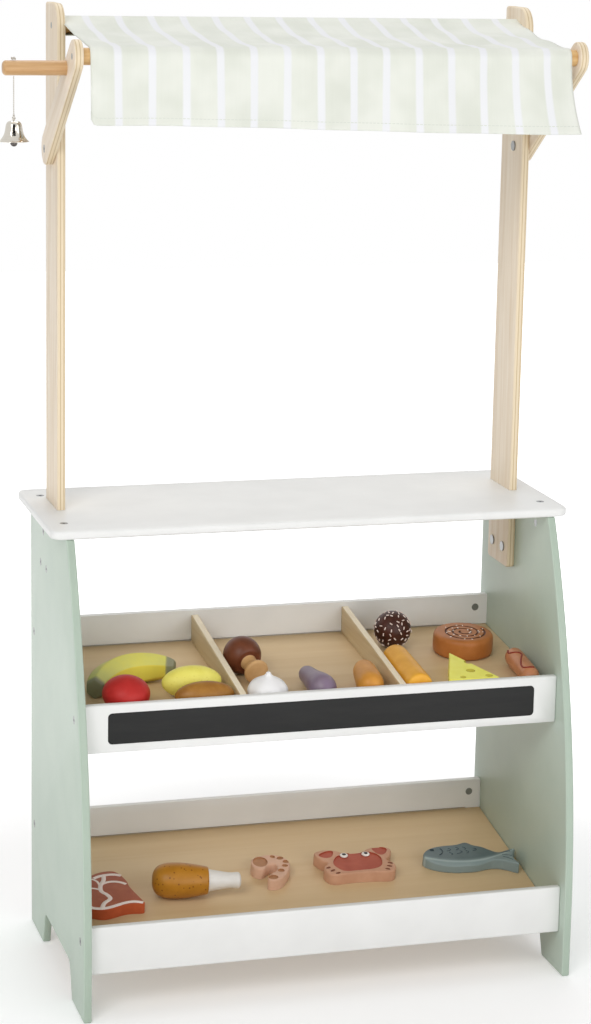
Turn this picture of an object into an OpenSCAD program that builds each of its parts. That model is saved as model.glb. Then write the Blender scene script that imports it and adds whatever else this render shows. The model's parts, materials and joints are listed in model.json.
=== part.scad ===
// Toy market stall: two side panels carry a countertop and two sloping food trays, two posts
// carry a cloth awning, and a hand bell hangs from a rod beside it. Wooden play food fills the
// trays. Millimetres, +Z up, the front faces -Y, and the origin lies on the floor under the
// middle of the stall's box.

/* [Side panels] */
// Clear width between the two side panels
inner_w = 580; // [540:1:640]
// Thickness of a side panel
panel_t = 10; // [9:0.5:14]
// Height of a side panel
panel_h = 549; // [530:1:600]
// Depth of a side panel at its feet
panel_depth = 333; // [325:1:360]
// Depth of a side panel at its top edge
panel_top_depth = 228; // [205:1:240]
// Height where the front edge begins to curve back
panel_curve_z = 80; // [60:1:120]
// Height of the arch between the two feet
arch_h = 43.5; // [34:0.5:48]
// Depth of the back foot on the floor
back_foot = 78; // [60:1:90]
// Depth of the front foot on the floor
front_foot = 70.5; // [55:0.5:85]
// How far each side of the arch leans in
arch_lean = 10; // [5:0.5:14]
// Radius of the arch's upper corners
arch_r = 14; // [8:0.5:18]

/* [Countertop] */
// How far the countertop stands out past each side panel
counter_side = 17; // [8:0.5:30]
// Depth of the countertop
counter_depth = 232; // [225:1:260]
// Thickness of the countertop
counter_t = 10.5; // [9:0.5:14]
// How far the countertop stands out behind the panels
counter_back = 2; // [0:0.5:6]
// Corner radius of the countertop
counter_r = 14; // [6:1:20]

/* [Posts] */
// Width of a post, front to back
post_w = 71; // [64:1:80]
// Thickness of a post
post_t = 10; // [9:0.5:12]
// Height of the post tops above the floor
post_top = 1150.5; // [1140:0.5:1250]
// How far a post reaches down below the countertop
post_below = 89; // [80:1:100]
// Distance from the panels' back edge to a post's middle
post_mid = 85; // [78:1:95]
// Radius of a post's upper front corner
post_top_r = 25; // [10:1:30]
// Radius of the other post corners
post_r = 5; // [2:0.5:8]

/* [Trays] */
// Height of a tray rail
rail_h = 57.5; // [54:0.5:64]
// Thickness of a tray rail
rail_t = 10; // [9:0.5:12]
// Distance of the back rails' front face from the panels' back edge
back_rail_at = 27; // [24:0.5:36]
// Set-back of the middle front rail behind the panels' front edge
mid_rail_in = 17; // [12:0.5:24]
// Set-back of the lower front rail behind the panels' front edge
low_rail_in = 15; // [10:0.5:24]
// Top of the middle back rail
mid_back_top = 401.5; // [395:0.5:420]
// Top of the middle front rail
mid_front_top = 364.3; // [356:0.1:372]
// Top of the lower back rail
low_back_top = 152; // [145:0.5:165]
// Top of the lower front rail
low_front_top = 109.8; // [100:0.1:120]
// Thickness of a tray board
board_t = 6; // [5:0.5:8]
// Depth of the tray board below a back rail's top
back_drop = 39; // [36:0.5:44]
// Depth of the middle board below its front rail's top
mid_drop = 23.5; // [23:0.5:32]
// Depth of the lower board below its front rail's top
low_drop = 40.5; // [34:0.5:46]
// How deep a board sits in a rail's groove
groove = 4; // [3:0.5:6]
// Thickness of a tray divider
divider_t = 9; // [8:0.5:12]
// Drop of a divider's back end below the back rail's top
divider_drop = 5; // [2:0.5:10]
// Distance of the chalkboard strip from each end of its rail
chalk_side = 29; // [20:0.5:50]
// Height of the chalkboard strip
chalk_h = 37; // [30:0.5:40]
// Thickness of the chalkboard strip
chalk_t = 2; // [1.5:0.1:3]
// Corner radius of the chalkboard strip
chalk_r = 5; // [2:0.5:8]

/* [Awning] */
// Width of an awning arm
arm_w = 37; // [34:0.5:44]
// Thickness of an awning arm
arm_t = 10; // [9:0.5:12]
// Distance of the arm bolt from the panels' back edge
arm_low_at = 93; // [90:0.5:98]
// Height of the arm bolt above the floor
arm_low_z = 984; // [970:1:1000]
// Distance of the front rod from the panels' back edge
front_rod_at = 258; // [250:1:275]
// Height of the front rod above the floor
front_rod_z = 1100; // [1090:1:1108]
// Distance of the rear rod's middle below the post tops
rear_rod_drop = 25.5; // [20:0.5:32]
// Diameter of the awning rods
rod_d = 19; // [16:0.5:22]
// Distance of the awning cloth's edges from the arms
cloth_side = 12; // [11:0.5:30]
// Thickness of the awning cloth
cloth_t = 1.2; // [1:0.1:1.6]
// Hang of the valance below the front rod's middle
valance_drop = 78; // [60:1:90]
// Height of the waves along the valance's hem
wave_h = 3; // [1:0.5:5]
// How far the valance's right corner swings forward
corner_flare = 9; // [0:0.5:14]

/* [Bell] */
// Diameter of the bell rod
bell_rod_d = 16.5; // [14:0.5:20]
// How far the bell rod stands out of the arm
bell_rod_out = 71; // [66:0.5:84]
// Distance of the bell thread from the arm
bell_at = 58.5; // [54:0.5:61]
// Height of the bell rod above the arm's middle line
bell_rod_rise = 8.5; // [0:0.5:9]
// Diameter of the bell thread
thread_d = 1.2; // [1:0.1:1.6]
// Length of the thread from the rod to its eye
thread_l = 46; // [36:0.5:60]
// Height of the bell's shell
bell_h = 23; // [20:0.5:28]
// Radius of the bell's mouth
bell_r = 17; // [15:0.5:20]
// Wall of the bell
bell_wall = 1.2; // [1:0.1:1.6]
// Radius of the clapper's ball
clapper_r = 4; // [3:0.1:5]

/* [Fasteners] */
// Radius of a bolt's shank
bolt_r = 3; // [2.5:0.1:3.5]
// Radius of a bolt's head
bolt_head_r = 4.8; // [4.4:0.1:5.5]
// Height of a bolt's head
bolt_head_h = 2.6; // [2:0.1:3.2]
// Radius of a barrel nut
nut_r = 4.6; // [4.2:0.1:5]
// Distance of a barrel nut from the end of its rail
nut_inset = 16; // [13:0.5:22]
// Depth of a rail's bolt below the rail's top
rail_bolt_drop = 16.5; // [14:0.5:17]
// Radius of a sleeve nut's cap
cap_r = 6; // [5.5:0.1:7]
// Half the spacing of the lower pair of post bolts
post_bolt_half = 18; // [14:0.5:22]
// Radius of a wood screw's shank
screw_r = 1.8; // [1.5:0.1:2.2]
// Length of a wood screw
screw_l = 32; // [24:1:40]

/* [Food in the middle tray] */
// Radius of the tomato
tomato_r = 28.5; // [24:0.5:29]
// Height of the tomato
tomato_h = 43; // [36:0.5:50]
// Radius of the banana
banana_r = 18; // [15:0.5:19]
// Radius of the banana's bend
banana_bend_r = 82; // [76:1:88]
// Length of the lemon
lemon_l = 72; // [60:1:76]
// Radius of the lemon
lemon_r = 19.5; // [16:0.5:20]
// Length of the bread roll
bun_l = 72; // [60:1:74]
// Radius of the bread roll
bun_r = 17; // [14:0.5:17.5]
// Radius of the mushroom's cap
mushroom_r = 23.5; // [20:0.5:24]
// Length of the mushroom's stem beyond the middle of its cap
mushroom_stem = 43; // [38:1:46]
// Radius of the garlic bulb
garlic_r = 25; // [22:0.5:27]
// Height of the garlic bulb
garlic_h = 38; // [32:0.5:44]
// Length of the aubergine
aubergine_l = 84; // [72:1:88]
// Radius of the aubergine
aubergine_r = 17; // [14:0.5:18]
// Length of the small carrot piece
carrot_small_l = 72; // [62:1:76]
// Radius of the small carrot piece
carrot_small_r = 17; // [14:0.5:18]
// Length of the large carrot piece
carrot_large_l = 104; // [90:1:106]
// Radius of the large carrot piece
carrot_large_r = 16.5; // [14:0.5:17]
// Radius of the sprinkled chocolate ball
choc_r = 23.5; // [20:0.5:25]
// Radius of the cinnamon bun
cinnamon_r = 38; // [32:0.5:40]
// Height of the cinnamon bun
cinnamon_h = 26; // [20:0.5:30]
// Length of the cheese wedge
cheese_l = 88; // [78:1:92]
// Width of the cheese wedge
cheese_w = 64; // [54:1:68]
// Height of the cheese wedge
cheese_h = 20; // [16:0.5:24]
// Length of the sausage
sausage_l = 86; // [76:1:90]
// Radius of the sausage
sausage_r = 12; // [10:0.5:14]

/* [Food on the lower tray] */
// Thickness of the flat play foods
slab_t = 14.5; // [12:0.5:18]
// Width of the steak
steak_w = 70; // [60:1:74]
// Length of the steak
steak_l = 91; // [80:1:96]
// Length of the drumstick
drumstick_l = 108; // [96:1:110]
// Radius of the drumstick
drumstick_r = 22; // [18:0.5:23]
// Width of the shrimp
shrimp_w = 47; // [40:1:50]
// Length of the shrimp
shrimp_l = 62; // [54:1:66]
// Width of the crab
crab_w = 96; // [84:1:100]
// Length of the crab
crab_l = 62; // [54:1:66]
// Length of the fish
fish_l = 118; // [104:1:120]
// Width of the fish
fish_w = 48; // [40:1:50]

/* [Hidden] */
$fn = 48;

// Overrun of every cut past the face it opens
over = 1;
// Clearances: flat wood joints, bolt holes, threads and nut pockets, food above its board
fit = 0.2;
bolt_clear = 0.2;
thread_clear = 0.06;
rest_gap = 0.3;
// Wood left behind a blind nut pocket
skin = 1.6;
// Socket in a bolt's head
socket_r = 1.9;
socket_depth = 1.6;
// Sleeve of a sleeve nut and the thickness of its cap
sleeve_r = 4.2;
cap_h = 1.6;
// Countersunk head of a wood screw
screw_head_r = 3.6;
screw_head_h = 2.4;
// Height of the single upper post bolt above the pair
post_bolt_rise = 42;
// Distance of the pair of post bolts below the countertop
post_bolt_drop = 65;
// Places of the counter bolts from the back edge, as shares of the countertop's depth
counter_bolt_shares = [0.172, 0.818];
// Depth of the counter bolts' barrel nuts below the panel's top
counter_nut_drop = 16;
// Dowel that keeps an arm from turning on its bolt, and its distance along the arm
dowel_r = 3;
dowel_l = 14;
dowel_step = 29;
// Recess that the chalkboard sits in
chalk_recess = 1.5;
// Places of the divider screws along the divider, as shares of the tray's depth
divider_screw_shares = [0.25, 0.75];
divider_screw_l = 22;

half_w = inner_w / 2;
outer_w = half_w + panel_t;
counter_l = 2 * (outer_w + counter_side);
chalk_l = inner_w - 2 * chalk_side;
cloth_w = inner_w - 2 * cloth_side;
// Dividers make three equal compartments, to the nearest share of half the clear width
divider_share = 0.338;
divider_at = divider_share * half_w;

// The panels' front edge sweeps back in one arc from its upright foot to the top
panel_sweep = panel_depth - panel_top_depth;
panel_swept_h = panel_h - panel_curve_z;
panel_edge_r = (panel_swept_h * panel_swept_h + panel_sweep * panel_sweep) / (2 * panel_sweep);
panel_edge_angle = asin(panel_swept_h / panel_edge_r);
function edge_at(z) = let (up = max(0, z - panel_curve_z))
    panel_depth - panel_edge_r + sqrt(panel_edge_r * panel_edge_r - up * up);
mid_rail_at = edge_at(mid_front_top) - mid_rail_in;
low_rail_at = edge_at(low_front_top) - low_rail_in;
counter_z = panel_h + counter_t;
post_bottom = panel_h - post_below;
post_x = half_w - post_t;
rear_rod_z = post_top - rear_rod_drop;
arm_r = arm_w / 2;
arm_x = half_w + arm_t;
arm_rise = front_rod_z - arm_low_z;
arm_run = front_rod_at - arm_low_at;
arm_angle = atan2(arm_rise, arm_run);
// Share of the arm's length at which the bell rod is set
bell_rod_share = 0.8;
bell_y = -arm_low_at - bell_rod_share * arm_run;
bell_rod_z = arm_low_z + bell_rod_share * arm_rise + bell_rod_rise;
bell_x = -arm_x - bell_at;

// The origin: below the middle of the stall's box
low_x = min(bell_x - bell_r, -arm_x - bell_rod_out);
high_x = max(counter_l / 2, outer_w);
low_y = -panel_depth;
high_y = max(counter_back, 0);
origin = [-(low_x + high_x) / 2, -(low_y + high_y) / 2, 0];

// Boards slope from the back rail's groove to the front rail's groove
mid_run = mid_rail_at - rail_t - back_rail_at;
low_run = low_rail_at - rail_t - back_rail_at;
mid_board_z = mid_back_top - back_drop;
low_board_z = low_back_top - back_drop;
mid_slope = atan2(mid_board_z - mid_front_top + mid_drop, mid_run);
low_slope = atan2(low_board_z - low_front_top + low_drop, low_run);

// Bolt axes of the four rails, from the back edge and the floor
rail_axes = [
    [-back_rail_at + rail_t / 2, mid_back_top - rail_bolt_drop],
    [-back_rail_at + rail_t / 2, low_back_top - rail_bolt_drop],
    [-mid_rail_at + rail_t / 2, mid_front_top - rail_bolt_drop],
    [-low_rail_at + rail_t / 2, low_front_top - rail_bolt_drop]
];
rail_bolt_l = panel_t + nut_inset + 2 * nut_r;
post_bolt_z = panel_h - post_bolt_drop;
post_axes = [
    [-post_mid - post_bolt_half, post_bolt_z],
    [-post_mid + post_bolt_half, post_bolt_z],
    [-post_mid, post_bolt_z + post_bolt_rise]
];
counter_bolt_ys = [for (s = counter_bolt_shares) counter_back - s * counter_depth];
counter_bolt_l = counter_t + counter_nut_drop + 2 * nut_r;
arm_axis = [-arm_low_at, arm_low_z];
dowel_axis = [-arm_low_at - dowel_step * cos(arm_angle), arm_low_z + dowel_step * sin(arm_angle)];

// Points of a circular arc
arc_steps = 8;
function arc(c, r, from, to, n = arc_steps) =
    [for (i = [0:n]) let (a = from + (to - from) * i / n) [c.x + r * cos(a), c.y + r * sin(a)]];

// Rectangle whose four corners have their own radii, from the lower left round
function round_box(lo, hi, r) = concat(
    arc([lo.x + r[0], lo.y + r[0]], r[0], 180, 270),
    arc([hi.x - r[1], lo.y + r[1]], r[1], 270, 360),
    arc([hi.x - r[2], hi.y - r[2]], r[2], 0, 90),
    arc([lo.x + r[3], hi.y - r[3]], r[3], 90, 180));

// One round of corner cutting on a closed outline
cut_share = 0.25;
function soften(p) = [
    for (i = [0:len(p) - 1]) let (a = p[i], b = p[(i + 1) % len(p)])
        each [a + (b - a) * cut_share, b + (a - b) * cut_share]];
function spread(shares, w, l) = [for (s = shares) [s.x * w, s.y * l]];

// Turned form from shares of its length and radius, with its axis along Z
function turned(shares, l, r) = [for (s = shares) [s.y * r, s.x * l]];
module lathe(shares, l, r) { rotate_extrude() polygon(turned(shares, l, r)); }

module stand() { translate(origin) children(); }
module both_sides() { children(); mirror([1, 0, 0]) children(); }
// Plate in the YZ plane, from x on
module plate_x(x, t) { translate([x, 0, 0]) rotate([90, 0, 90]) linear_extrude(t) children(); }
// Plate in the XZ plane, from its back face at y towards the front
module plate_y(y, t) { translate([0, y, 0]) rotate([90, 0, 0]) linear_extrude(t) children(); }
// Round bar along X from x on
module bar_x(x, at, r, l) { translate([x, at.x, at.y]) rotate([0, 90, 0]) cylinder(r = r, h = l); }
// Round bar along -Y from y on
module bar_y(y, x, z, r, l) { translate([x, y, z]) rotate([90, 0, 0]) cylinder(r = r, h = l); }

// Bolt along +X with its head's face at the origin
module bolt(l) {
    rotate([0, 90, 0]) difference() {
        union() {
            cylinder(r = bolt_head_r, h = bolt_head_h);
            cylinder(r = bolt_r, h = l);
        }
        translate([0, 0, -over]) cylinder(r = socket_r, h = socket_depth + over, $fn = 6);
    }
}
// Hole for a bolt along +X, with the pocket for its head
module bolt_hole(l) {
    rotate([0, 90, 0]) {
        translate([0, 0, -over]) cylinder(r = bolt_head_r + bolt_clear, h = bolt_head_h + bolt_clear + over);
        cylinder(r = bolt_r + bolt_clear, h = l);
    }
}
// Countersunk screw along +X with its head's face at the origin
module screw(l, grow = 0) {
    rotate([0, 90, 0]) union() {
        cylinder(r1 = screw_head_r + grow, r2 = screw_r + grow, h = screw_head_h);
        cylinder(r = screw_r + grow, h = l);
    }
}
// Hole for a countersunk screw, open past the face that its head is flush with
module screw_hole(l, grow) {
    screw(l, grow = grow);
    rotate([0, -90, 0]) cylinder(r = screw_head_r + grow, h = over);
}
// Sleeve nut pressed in from the end of its bolt, along -X from the cap's seat at the origin
module sleeve_nut(l) {
    difference() {
        union() {
            rotate([0, 90, 0]) cylinder(r = cap_r, h = cap_h);
            rotate([0, -90, 0]) cylinder(r = sleeve_r, h = l);
        }
        translate([-l - over, 0, 0]) rotate([0, 90, 0]) cylinder(r = bolt_r + thread_clear, h = l + over);
    }
}

// Side panels: feet with an arch between them, and the swept front edge
edge_steps = 20;
foot_tip = [-back_foot, 0];
toe_tip = [-panel_depth + front_foot, 0];
module panel_outline() {
    difference() {
        polygon(concat(
            [[0, 0], [0, panel_h]],
            arc([panel_edge_r - panel_depth, panel_curve_z], panel_edge_r,
                180 - panel_edge_angle, 180, edge_steps),
            [[-panel_depth, 0]]));
        polygon(concat(
            [foot_tip - [0, over], foot_tip],
            arc([foot_tip.x - arch_lean - arch_r, arch_h - arch_r], arch_r, 0, 90),
            arc([toe_tip.x + arch_lean + arch_r, arch_h - arch_r], arch_r, 90, 180),
            [toe_tip, toe_tip - [0, over]]));
    }
}
module side_panel() {
    difference() {
        plate_x(-outer_w, panel_t) panel_outline();
        for (a = rail_axes) translate([-outer_w, a.x, a.y]) bolt_hole(panel_t + over);
        for (a = post_axes) translate([-outer_w, a.x, a.y]) bolt_hole(panel_t + over);
        for (y = counter_bolt_ys) {
            translate([-half_w - panel_t / 2, y, panel_h + over]) rotate([0, 90, 0])
                bar_x(0, [0, 0], bolt_r + bolt_clear, counter_nut_drop + 2 * nut_r + over);
            bar_x(-outer_w + skin, [y, panel_h - counter_nut_drop], nut_r + thread_clear, panel_t);
        }
    }
}
module side_panel_left() { stand() color("#BFCDBF") side_panel(); }
module side_panel_right() { stand() color("#BFCDBF") mirror([1, 0, 0]) side_panel(); }

// Countertop with a slot for each post
module countertop() {
    stand() color("#EDEDEA") difference() {
        translate([0, 0, panel_h]) linear_extrude(counter_t) polygon(round_box(
            [-counter_l / 2, counter_back - counter_depth], [counter_l / 2, counter_back],
            [counter_r, counter_r, counter_r, counter_r]));
        both_sides() {
            translate([-half_w - fit, -post_mid - post_w / 2 - fit, panel_h - over])
                cube([post_t + 2 * fit, post_w + 2 * fit, counter_t + 2 * over]);
            for (y = counter_bolt_ys) translate([-half_w - panel_t / 2, y, counter_z])
                rotate([0, 90, 0]) bolt_hole(counter_t + over);
        }
    }
}

// Posts, with a rounded upper front corner
module post() {
    difference() {
        plate_x(-half_w, post_t) polygon(round_box(
            [-post_mid - post_w / 2, post_bottom], [-post_mid + post_w / 2, post_top],
            [post_r, post_r, post_r, post_top_r]));
        for (a = concat(post_axes, [arm_axis]))
            bar_x(-half_w - over, a, sleeve_r + thread_clear, post_t + 2 * over);
        bar_x(-half_w - over, dowel_axis, dowel_r + thread_clear, dowel_l / 2 + over);
        translate([-half_w, -post_mid, rear_rod_z]) screw_hole(post_t + over, bolt_clear);
    }
}
module post_left() { stand() color("#DFCDB2") post(); }
module post_right() { stand() color("#DFCDB2") mirror([1, 0, 0]) post(); }

// Tray boards, sloping down from the back rail to the front rail
module slope_from(at, z, slope) { translate([0, -at, z]) rotate([slope, 0, 0]) children(); }
module board(z, slope, run, grow) {
    long = run / cos(slope) + 2 * (groove - fit);
    slope_from(back_rail_at, z, slope)
        translate([-half_w + fit - grow, -run / cos(slope) - groove + fit - grow, -board_t - grow])
            cube([inner_w - 2 * fit + 2 * grow, long + 2 * grow, board_t + 2 * grow]);
}
module middle_shelf_board() {
    stand() color("#CDB48C") difference() {
        board(mid_board_z, mid_slope, mid_run, 0);
        divider_screw_places() screw_hole(board_t + over, bolt_clear);
    }
}
module lower_shelf_board() { stand() color("#CDB48C") board(low_board_z, low_slope, low_run, 0); }

// Tray rails: nut pockets open on the face that looks into the tray
module rail(front_at, top, into_tray) {
    pocket_y = into_tray > 0 ? -front_at + rail_t + over : -front_at + rail_t - skin;
    difference() {
        plate_y(-front_at + rail_t, rail_t) polygon(round_box(
            [-half_w, top - rail_h], [half_w, top], [0, 0, 0, 0]));
        both_sides() {
            bar_x(-half_w - over, [-front_at + rail_t / 2, top - rail_bolt_drop],
                bolt_r + bolt_clear, nut_inset + 2 * nut_r + over);
            bar_y(pocket_y, -half_w + nut_inset, top - rail_bolt_drop,
                nut_r + thread_clear, rail_t - skin + over);
        }
    }
}
module middle_back_rail() {
    stand() color("#E9E8E5") difference() {
        rail(back_rail_at, mid_back_top, -1);
        board(mid_board_z, mid_slope, mid_run, fit);
    }
}
module middle_front_rail() {
    stand() color("#E9E8E5") difference() {
        rail(mid_rail_at, mid_front_top, 1);
        board(mid_board_z, mid_slope, mid_run, fit);
        plate_y(-mid_rail_at + chalk_recess, chalk_recess + over) chalk_outline(fit);
    }
}
module lower_back_rail() {
    stand() color("#E9E8E5") difference() {
        rail(back_rail_at, low_back_top, -1);
        board(low_board_z, low_slope, low_run, fit);
    }
}
module lower_front_rail() {
    stand() color("#E9E8E5") difference() {
        rail(low_rail_at, low_front_top, 1);
        board(low_board_z, low_slope, low_run, fit);
    }
}

// Chalkboard strip let into the middle front rail
chalk_z = mid_front_top - rail_h / 2;
module chalk_outline(grow) {
    r = chalk_r + grow;
    polygon(round_box([-chalk_l / 2 - grow, chalk_z - chalk_h / 2 - grow],
        [chalk_l / 2 + grow, chalk_z + chalk_h / 2 + grow], [r, r, r, r]));
}
module chalkboard() {
    stand() color("#3A3A3A") plate_y(-mid_rail_at + chalk_recess, chalk_t) chalk_outline(0);
}

// Dividers stand on the middle board, with tops that fall from the back rail to the front rail
divider_back = -back_rail_at - fit;
divider_front = -back_rail_at - mid_run + fit;
function mid_board_at(y) = mid_board_z + tan(mid_slope) * (y + back_rail_at);
function low_board_at(y) = low_board_z + tan(low_slope) * (y + back_rail_at);
module divider(x) {
    difference() {
        plate_x(x - divider_t / 2, divider_t) polygon([
            [divider_back, mid_board_at(divider_back)],
            [divider_back, mid_back_top - divider_drop],
            [divider_front, mid_front_top],
            [divider_front, mid_board_at(divider_front)]]);
        divider_screw_places() screw_hole(divider_screw_l + over, thread_clear);
    }
}
// Screws rise through the board, square to it, into both dividers
module divider_screw_places() {
    both_sides() for (s = divider_screw_shares)
        slope_from(back_rail_at, mid_board_z, mid_slope)
            translate([-divider_at, -s * mid_run, -board_t]) rotate([0, -90, 0]) children();
}
module divider_left() { stand() color("#D3BC95") divider(-divider_at); }
module divider_right() { stand() color("#D3BC95") divider(divider_at); }
module divider_screws() { stand() color("silver") divider_screw_places() screw(divider_screw_l); }

// Awning arms: straight, round ended, bolted and dowelled to the outside of the posts
module arm() {
    difference() {
        plate_x(-arm_x, arm_t) polygon(concat(
            arc(arm_axis, arm_r, 270 - arm_angle - 180, 270 - arm_angle - 360, 2 * arc_steps),
            arc([-front_rod_at, front_rod_z], arm_r, 270 - arm_angle, 270 - arm_angle - 180,
                2 * arc_steps)));
        translate([-arm_x, arm_axis.x, arm_axis.y]) bolt_hole(arm_t + over);
        bar_x(-half_w - dowel_l / 2, dowel_axis, dowel_r + thread_clear, dowel_l);
        translate([-arm_x, -front_rod_at, front_rod_z]) screw_hole(arm_t + over, bolt_clear);
    }
}
// The bell rod's tenon goes into the left arm
tenon_r = 5;
tenon_l = 8;
module awning_arm_left() {
    stand() color("#E0CFAF") difference() {
        arm();
        bar_x(-arm_x - over, [bell_y, bell_rod_z], tenon_r + thread_clear, tenon_l + over + fit);
    }
}
module awning_arm_right() { stand() color("#E0CFAF") mirror([1, 0, 0]) arm(); }

module rod(at, z, l) {
    difference() {
        bar_x(-l / 2, [-at, z], rod_d / 2, l);
        both_sides() bar_x(-l / 2 - over, [-at, z], screw_r + thread_clear, screw_l + over);
    }
}
module awning_front_rod() { stand() color("#D9B277") rod(front_rod_at, front_rod_z, inner_w); }
module awning_rear_rod() { stand() color("#D9B277") rod(post_mid, rear_rod_z, inner_w - 2 * post_t); }

// Awning cloth: a pocket round the rear rod, a sagging top, a turn over the front rod and a
// waved valance. Its middle line is a list of [y, z] points.
cloth_gap = 0.6;
cloth_r = rod_d / 2 + cloth_gap + cloth_t / 2;
pocket_tail = 16;
pocket_steps = 7;
leave_angle = 120;
rear_pull = 25;
front_pull = 50;
span_steps = 6;
turn_steps = 4;
hang_steps = 5;
rear_point = [-post_mid, rear_rod_z];
front_point = [-front_rod_at, front_rod_z];
leave_point = rear_point + cloth_r * [cos(leave_angle), sin(leave_angle)];
span_shape = [
    leave_point,
    leave_point + rear_pull * [-sin(leave_angle), cos(leave_angle)],
    front_point + [front_pull, cloth_r],
    front_point + [0, cloth_r]
];
function bezier(p, t) = pow(1 - t, 3) * p[0] + 3 * pow(1 - t, 2) * t * p[1]
    + 3 * (1 - t) * t * t * p[2] + pow(t, 3) * p[3];
cloth_line = concat(
    [rear_point + [-pocket_tail, -cloth_r]],
    arc(rear_point, cloth_r, -90, leave_angle, pocket_steps),
    [for (i = [1:span_steps]) bezier(span_shape, i / span_steps)],
    [for (i = [1:turn_steps]) let (a = 90 + 90 * i / turn_steps)
        front_point + cloth_r * [cos(a), sin(a)]],
    [for (i = [1:hang_steps])
        front_point + [-cloth_r, -valance_drop * i / hang_steps]]);
cloth_rows = len(cloth_line);
cloth_columns = 25;
valance_row = cloth_rows - 1 - hang_steps;
function along(i) = cloth_line[min(i + 1, cloth_rows - 1)] - cloth_line[max(i - 1, 0)];
function normal(i) = let (d = along(i)) [d.y, -d.x] / norm(d);
// Share of the valance's hang at a row, and its waves across the cloth
function hang(i) = max(0, (i - valance_row) / hang_steps);
wave_count = 4.5;
wave_start = 40;
flare_share = 0.55;
function wave(u) = sin(360 * wave_count * u + wave_start);
function flare(u) = pow(u, 6);
function cloth_point(i, u, side) = let (
        p = cloth_line[i] + side * cloth_t / 2 * normal(i),
        h = hang(i))
    [u * cloth_w - cloth_w / 2 + flare_share * corner_flare * h * h * flare(u),
        p.x - h * wave_h * (1 + wave(u)) - corner_flare * h * h * flare(u), p.y];
module awning_cloth() {
    n = cloth_columns;
    m = cloth_rows;
    points = [for (side = [-1, 1], i = [0:m - 1], j = [0:n - 1]) cloth_point(i, j / (n - 1), side)];
    function at(s, i, j) = (s * m + i) * n + j;
    function quad(a, b, c, d) = [[a, b, c], [a, c, d]];
    faces = concat(
        [for (i = [0:m - 2], j = [0:n - 2])
            each quad(at(1, i, j), at(1, i, j + 1), at(1, i + 1, j + 1), at(1, i + 1, j))],
        [for (i = [0:m - 2], j = [0:n - 2])
            each quad(at(0, i, j), at(0, i + 1, j), at(0, i + 1, j + 1), at(0, i, j + 1))],
        [for (j = [0:n - 2]) each quad(at(0, 0, j), at(0, 0, j + 1), at(1, 0, j + 1), at(1, 0, j))],
        [for (j = [0:n - 2])
            each quad(at(1, m - 1, j), at(1, m - 1, j + 1), at(0, m - 1, j + 1), at(0, m - 1, j))],
        [for (i = [0:m - 2]) each quad(at(0, i, 0), at(1, i, 0), at(1, i + 1, 0), at(0, i + 1, 0))],
        [for (i = [0:m - 2])
            each quad(at(1, i, n - 1), at(0, i, n - 1), at(0, i + 1, n - 1), at(1, i + 1, n - 1))]);
    stand() color("#E6ECE0") polyhedron(points, faces, convexity = 6);
}

// Bell rod: a round-ended dowel with a hole for the thread
thread_r = thread_d / 2;
thread_hole_r = thread_r + rest_gap;
rod_end_share = 0.45;
module bell_rod() {
    r = bell_rod_d / 2;
    end_r = rod_end_share * r;
    stand() color("#D79A55") difference() {
        translate([-arm_x, bell_y, bell_rod_z]) rotate([0, -90, 0]) rotate_extrude() polygon(concat(
            [[0, -tenon_l], [tenon_r, -tenon_l], [tenon_r, 0], [r, 0]],
            arc([r - end_r, bell_rod_out - end_r], end_r, 0, 90),
            [[0, bell_rod_out]]));
        translate([bell_x, bell_y, bell_rod_z - bell_rod_d]) cylinder(r = thread_hole_r, h = 2 * bell_rod_d);
    }
}

// Knot above the rod, with the thread that fills the hole below it
knot_r = 2.4;
knot_seat = 0.2;
module bell_knot() {
    r = bell_rod_d / 2;
    stand() color("#F2F0EA") translate([bell_x, bell_y, bell_rod_z]) {
        translate([0, 0, -r]) cylinder(r = thread_r, h = 2 * r + knot_r);
        translate([0, 0, r + knot_seat + knot_r]) sphere(r = knot_r);
    }
}

// Hanging thread: it swings about its round upper end and ends in an eye
eye_ring_r = 2 * thread_r + rest_gap;
bell_wire_r = thread_r;
swing_z = bell_rod_z - bell_rod_d / 2 - thread_r - rest_gap;
eye_z = swing_z - thread_l;
ring_z = eye_z - eye_ring_r;
module ring(r, wire) { rotate_extrude() translate([r, 0]) circle(r = wire, $fn = 24); }
module bell_cord() {
    stand() color("#F2F0EA") translate([bell_x, bell_y, 0]) {
        translate([0, 0, swing_z]) sphere(r = thread_r);
        translate([0, 0, eye_z + eye_ring_r]) cylinder(r = thread_r, h = swing_z - eye_z - eye_ring_r);
        translate([0, 0, eye_z]) rotate([90, 0, 0]) ring(eye_ring_r, thread_r);
    }
}

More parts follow.
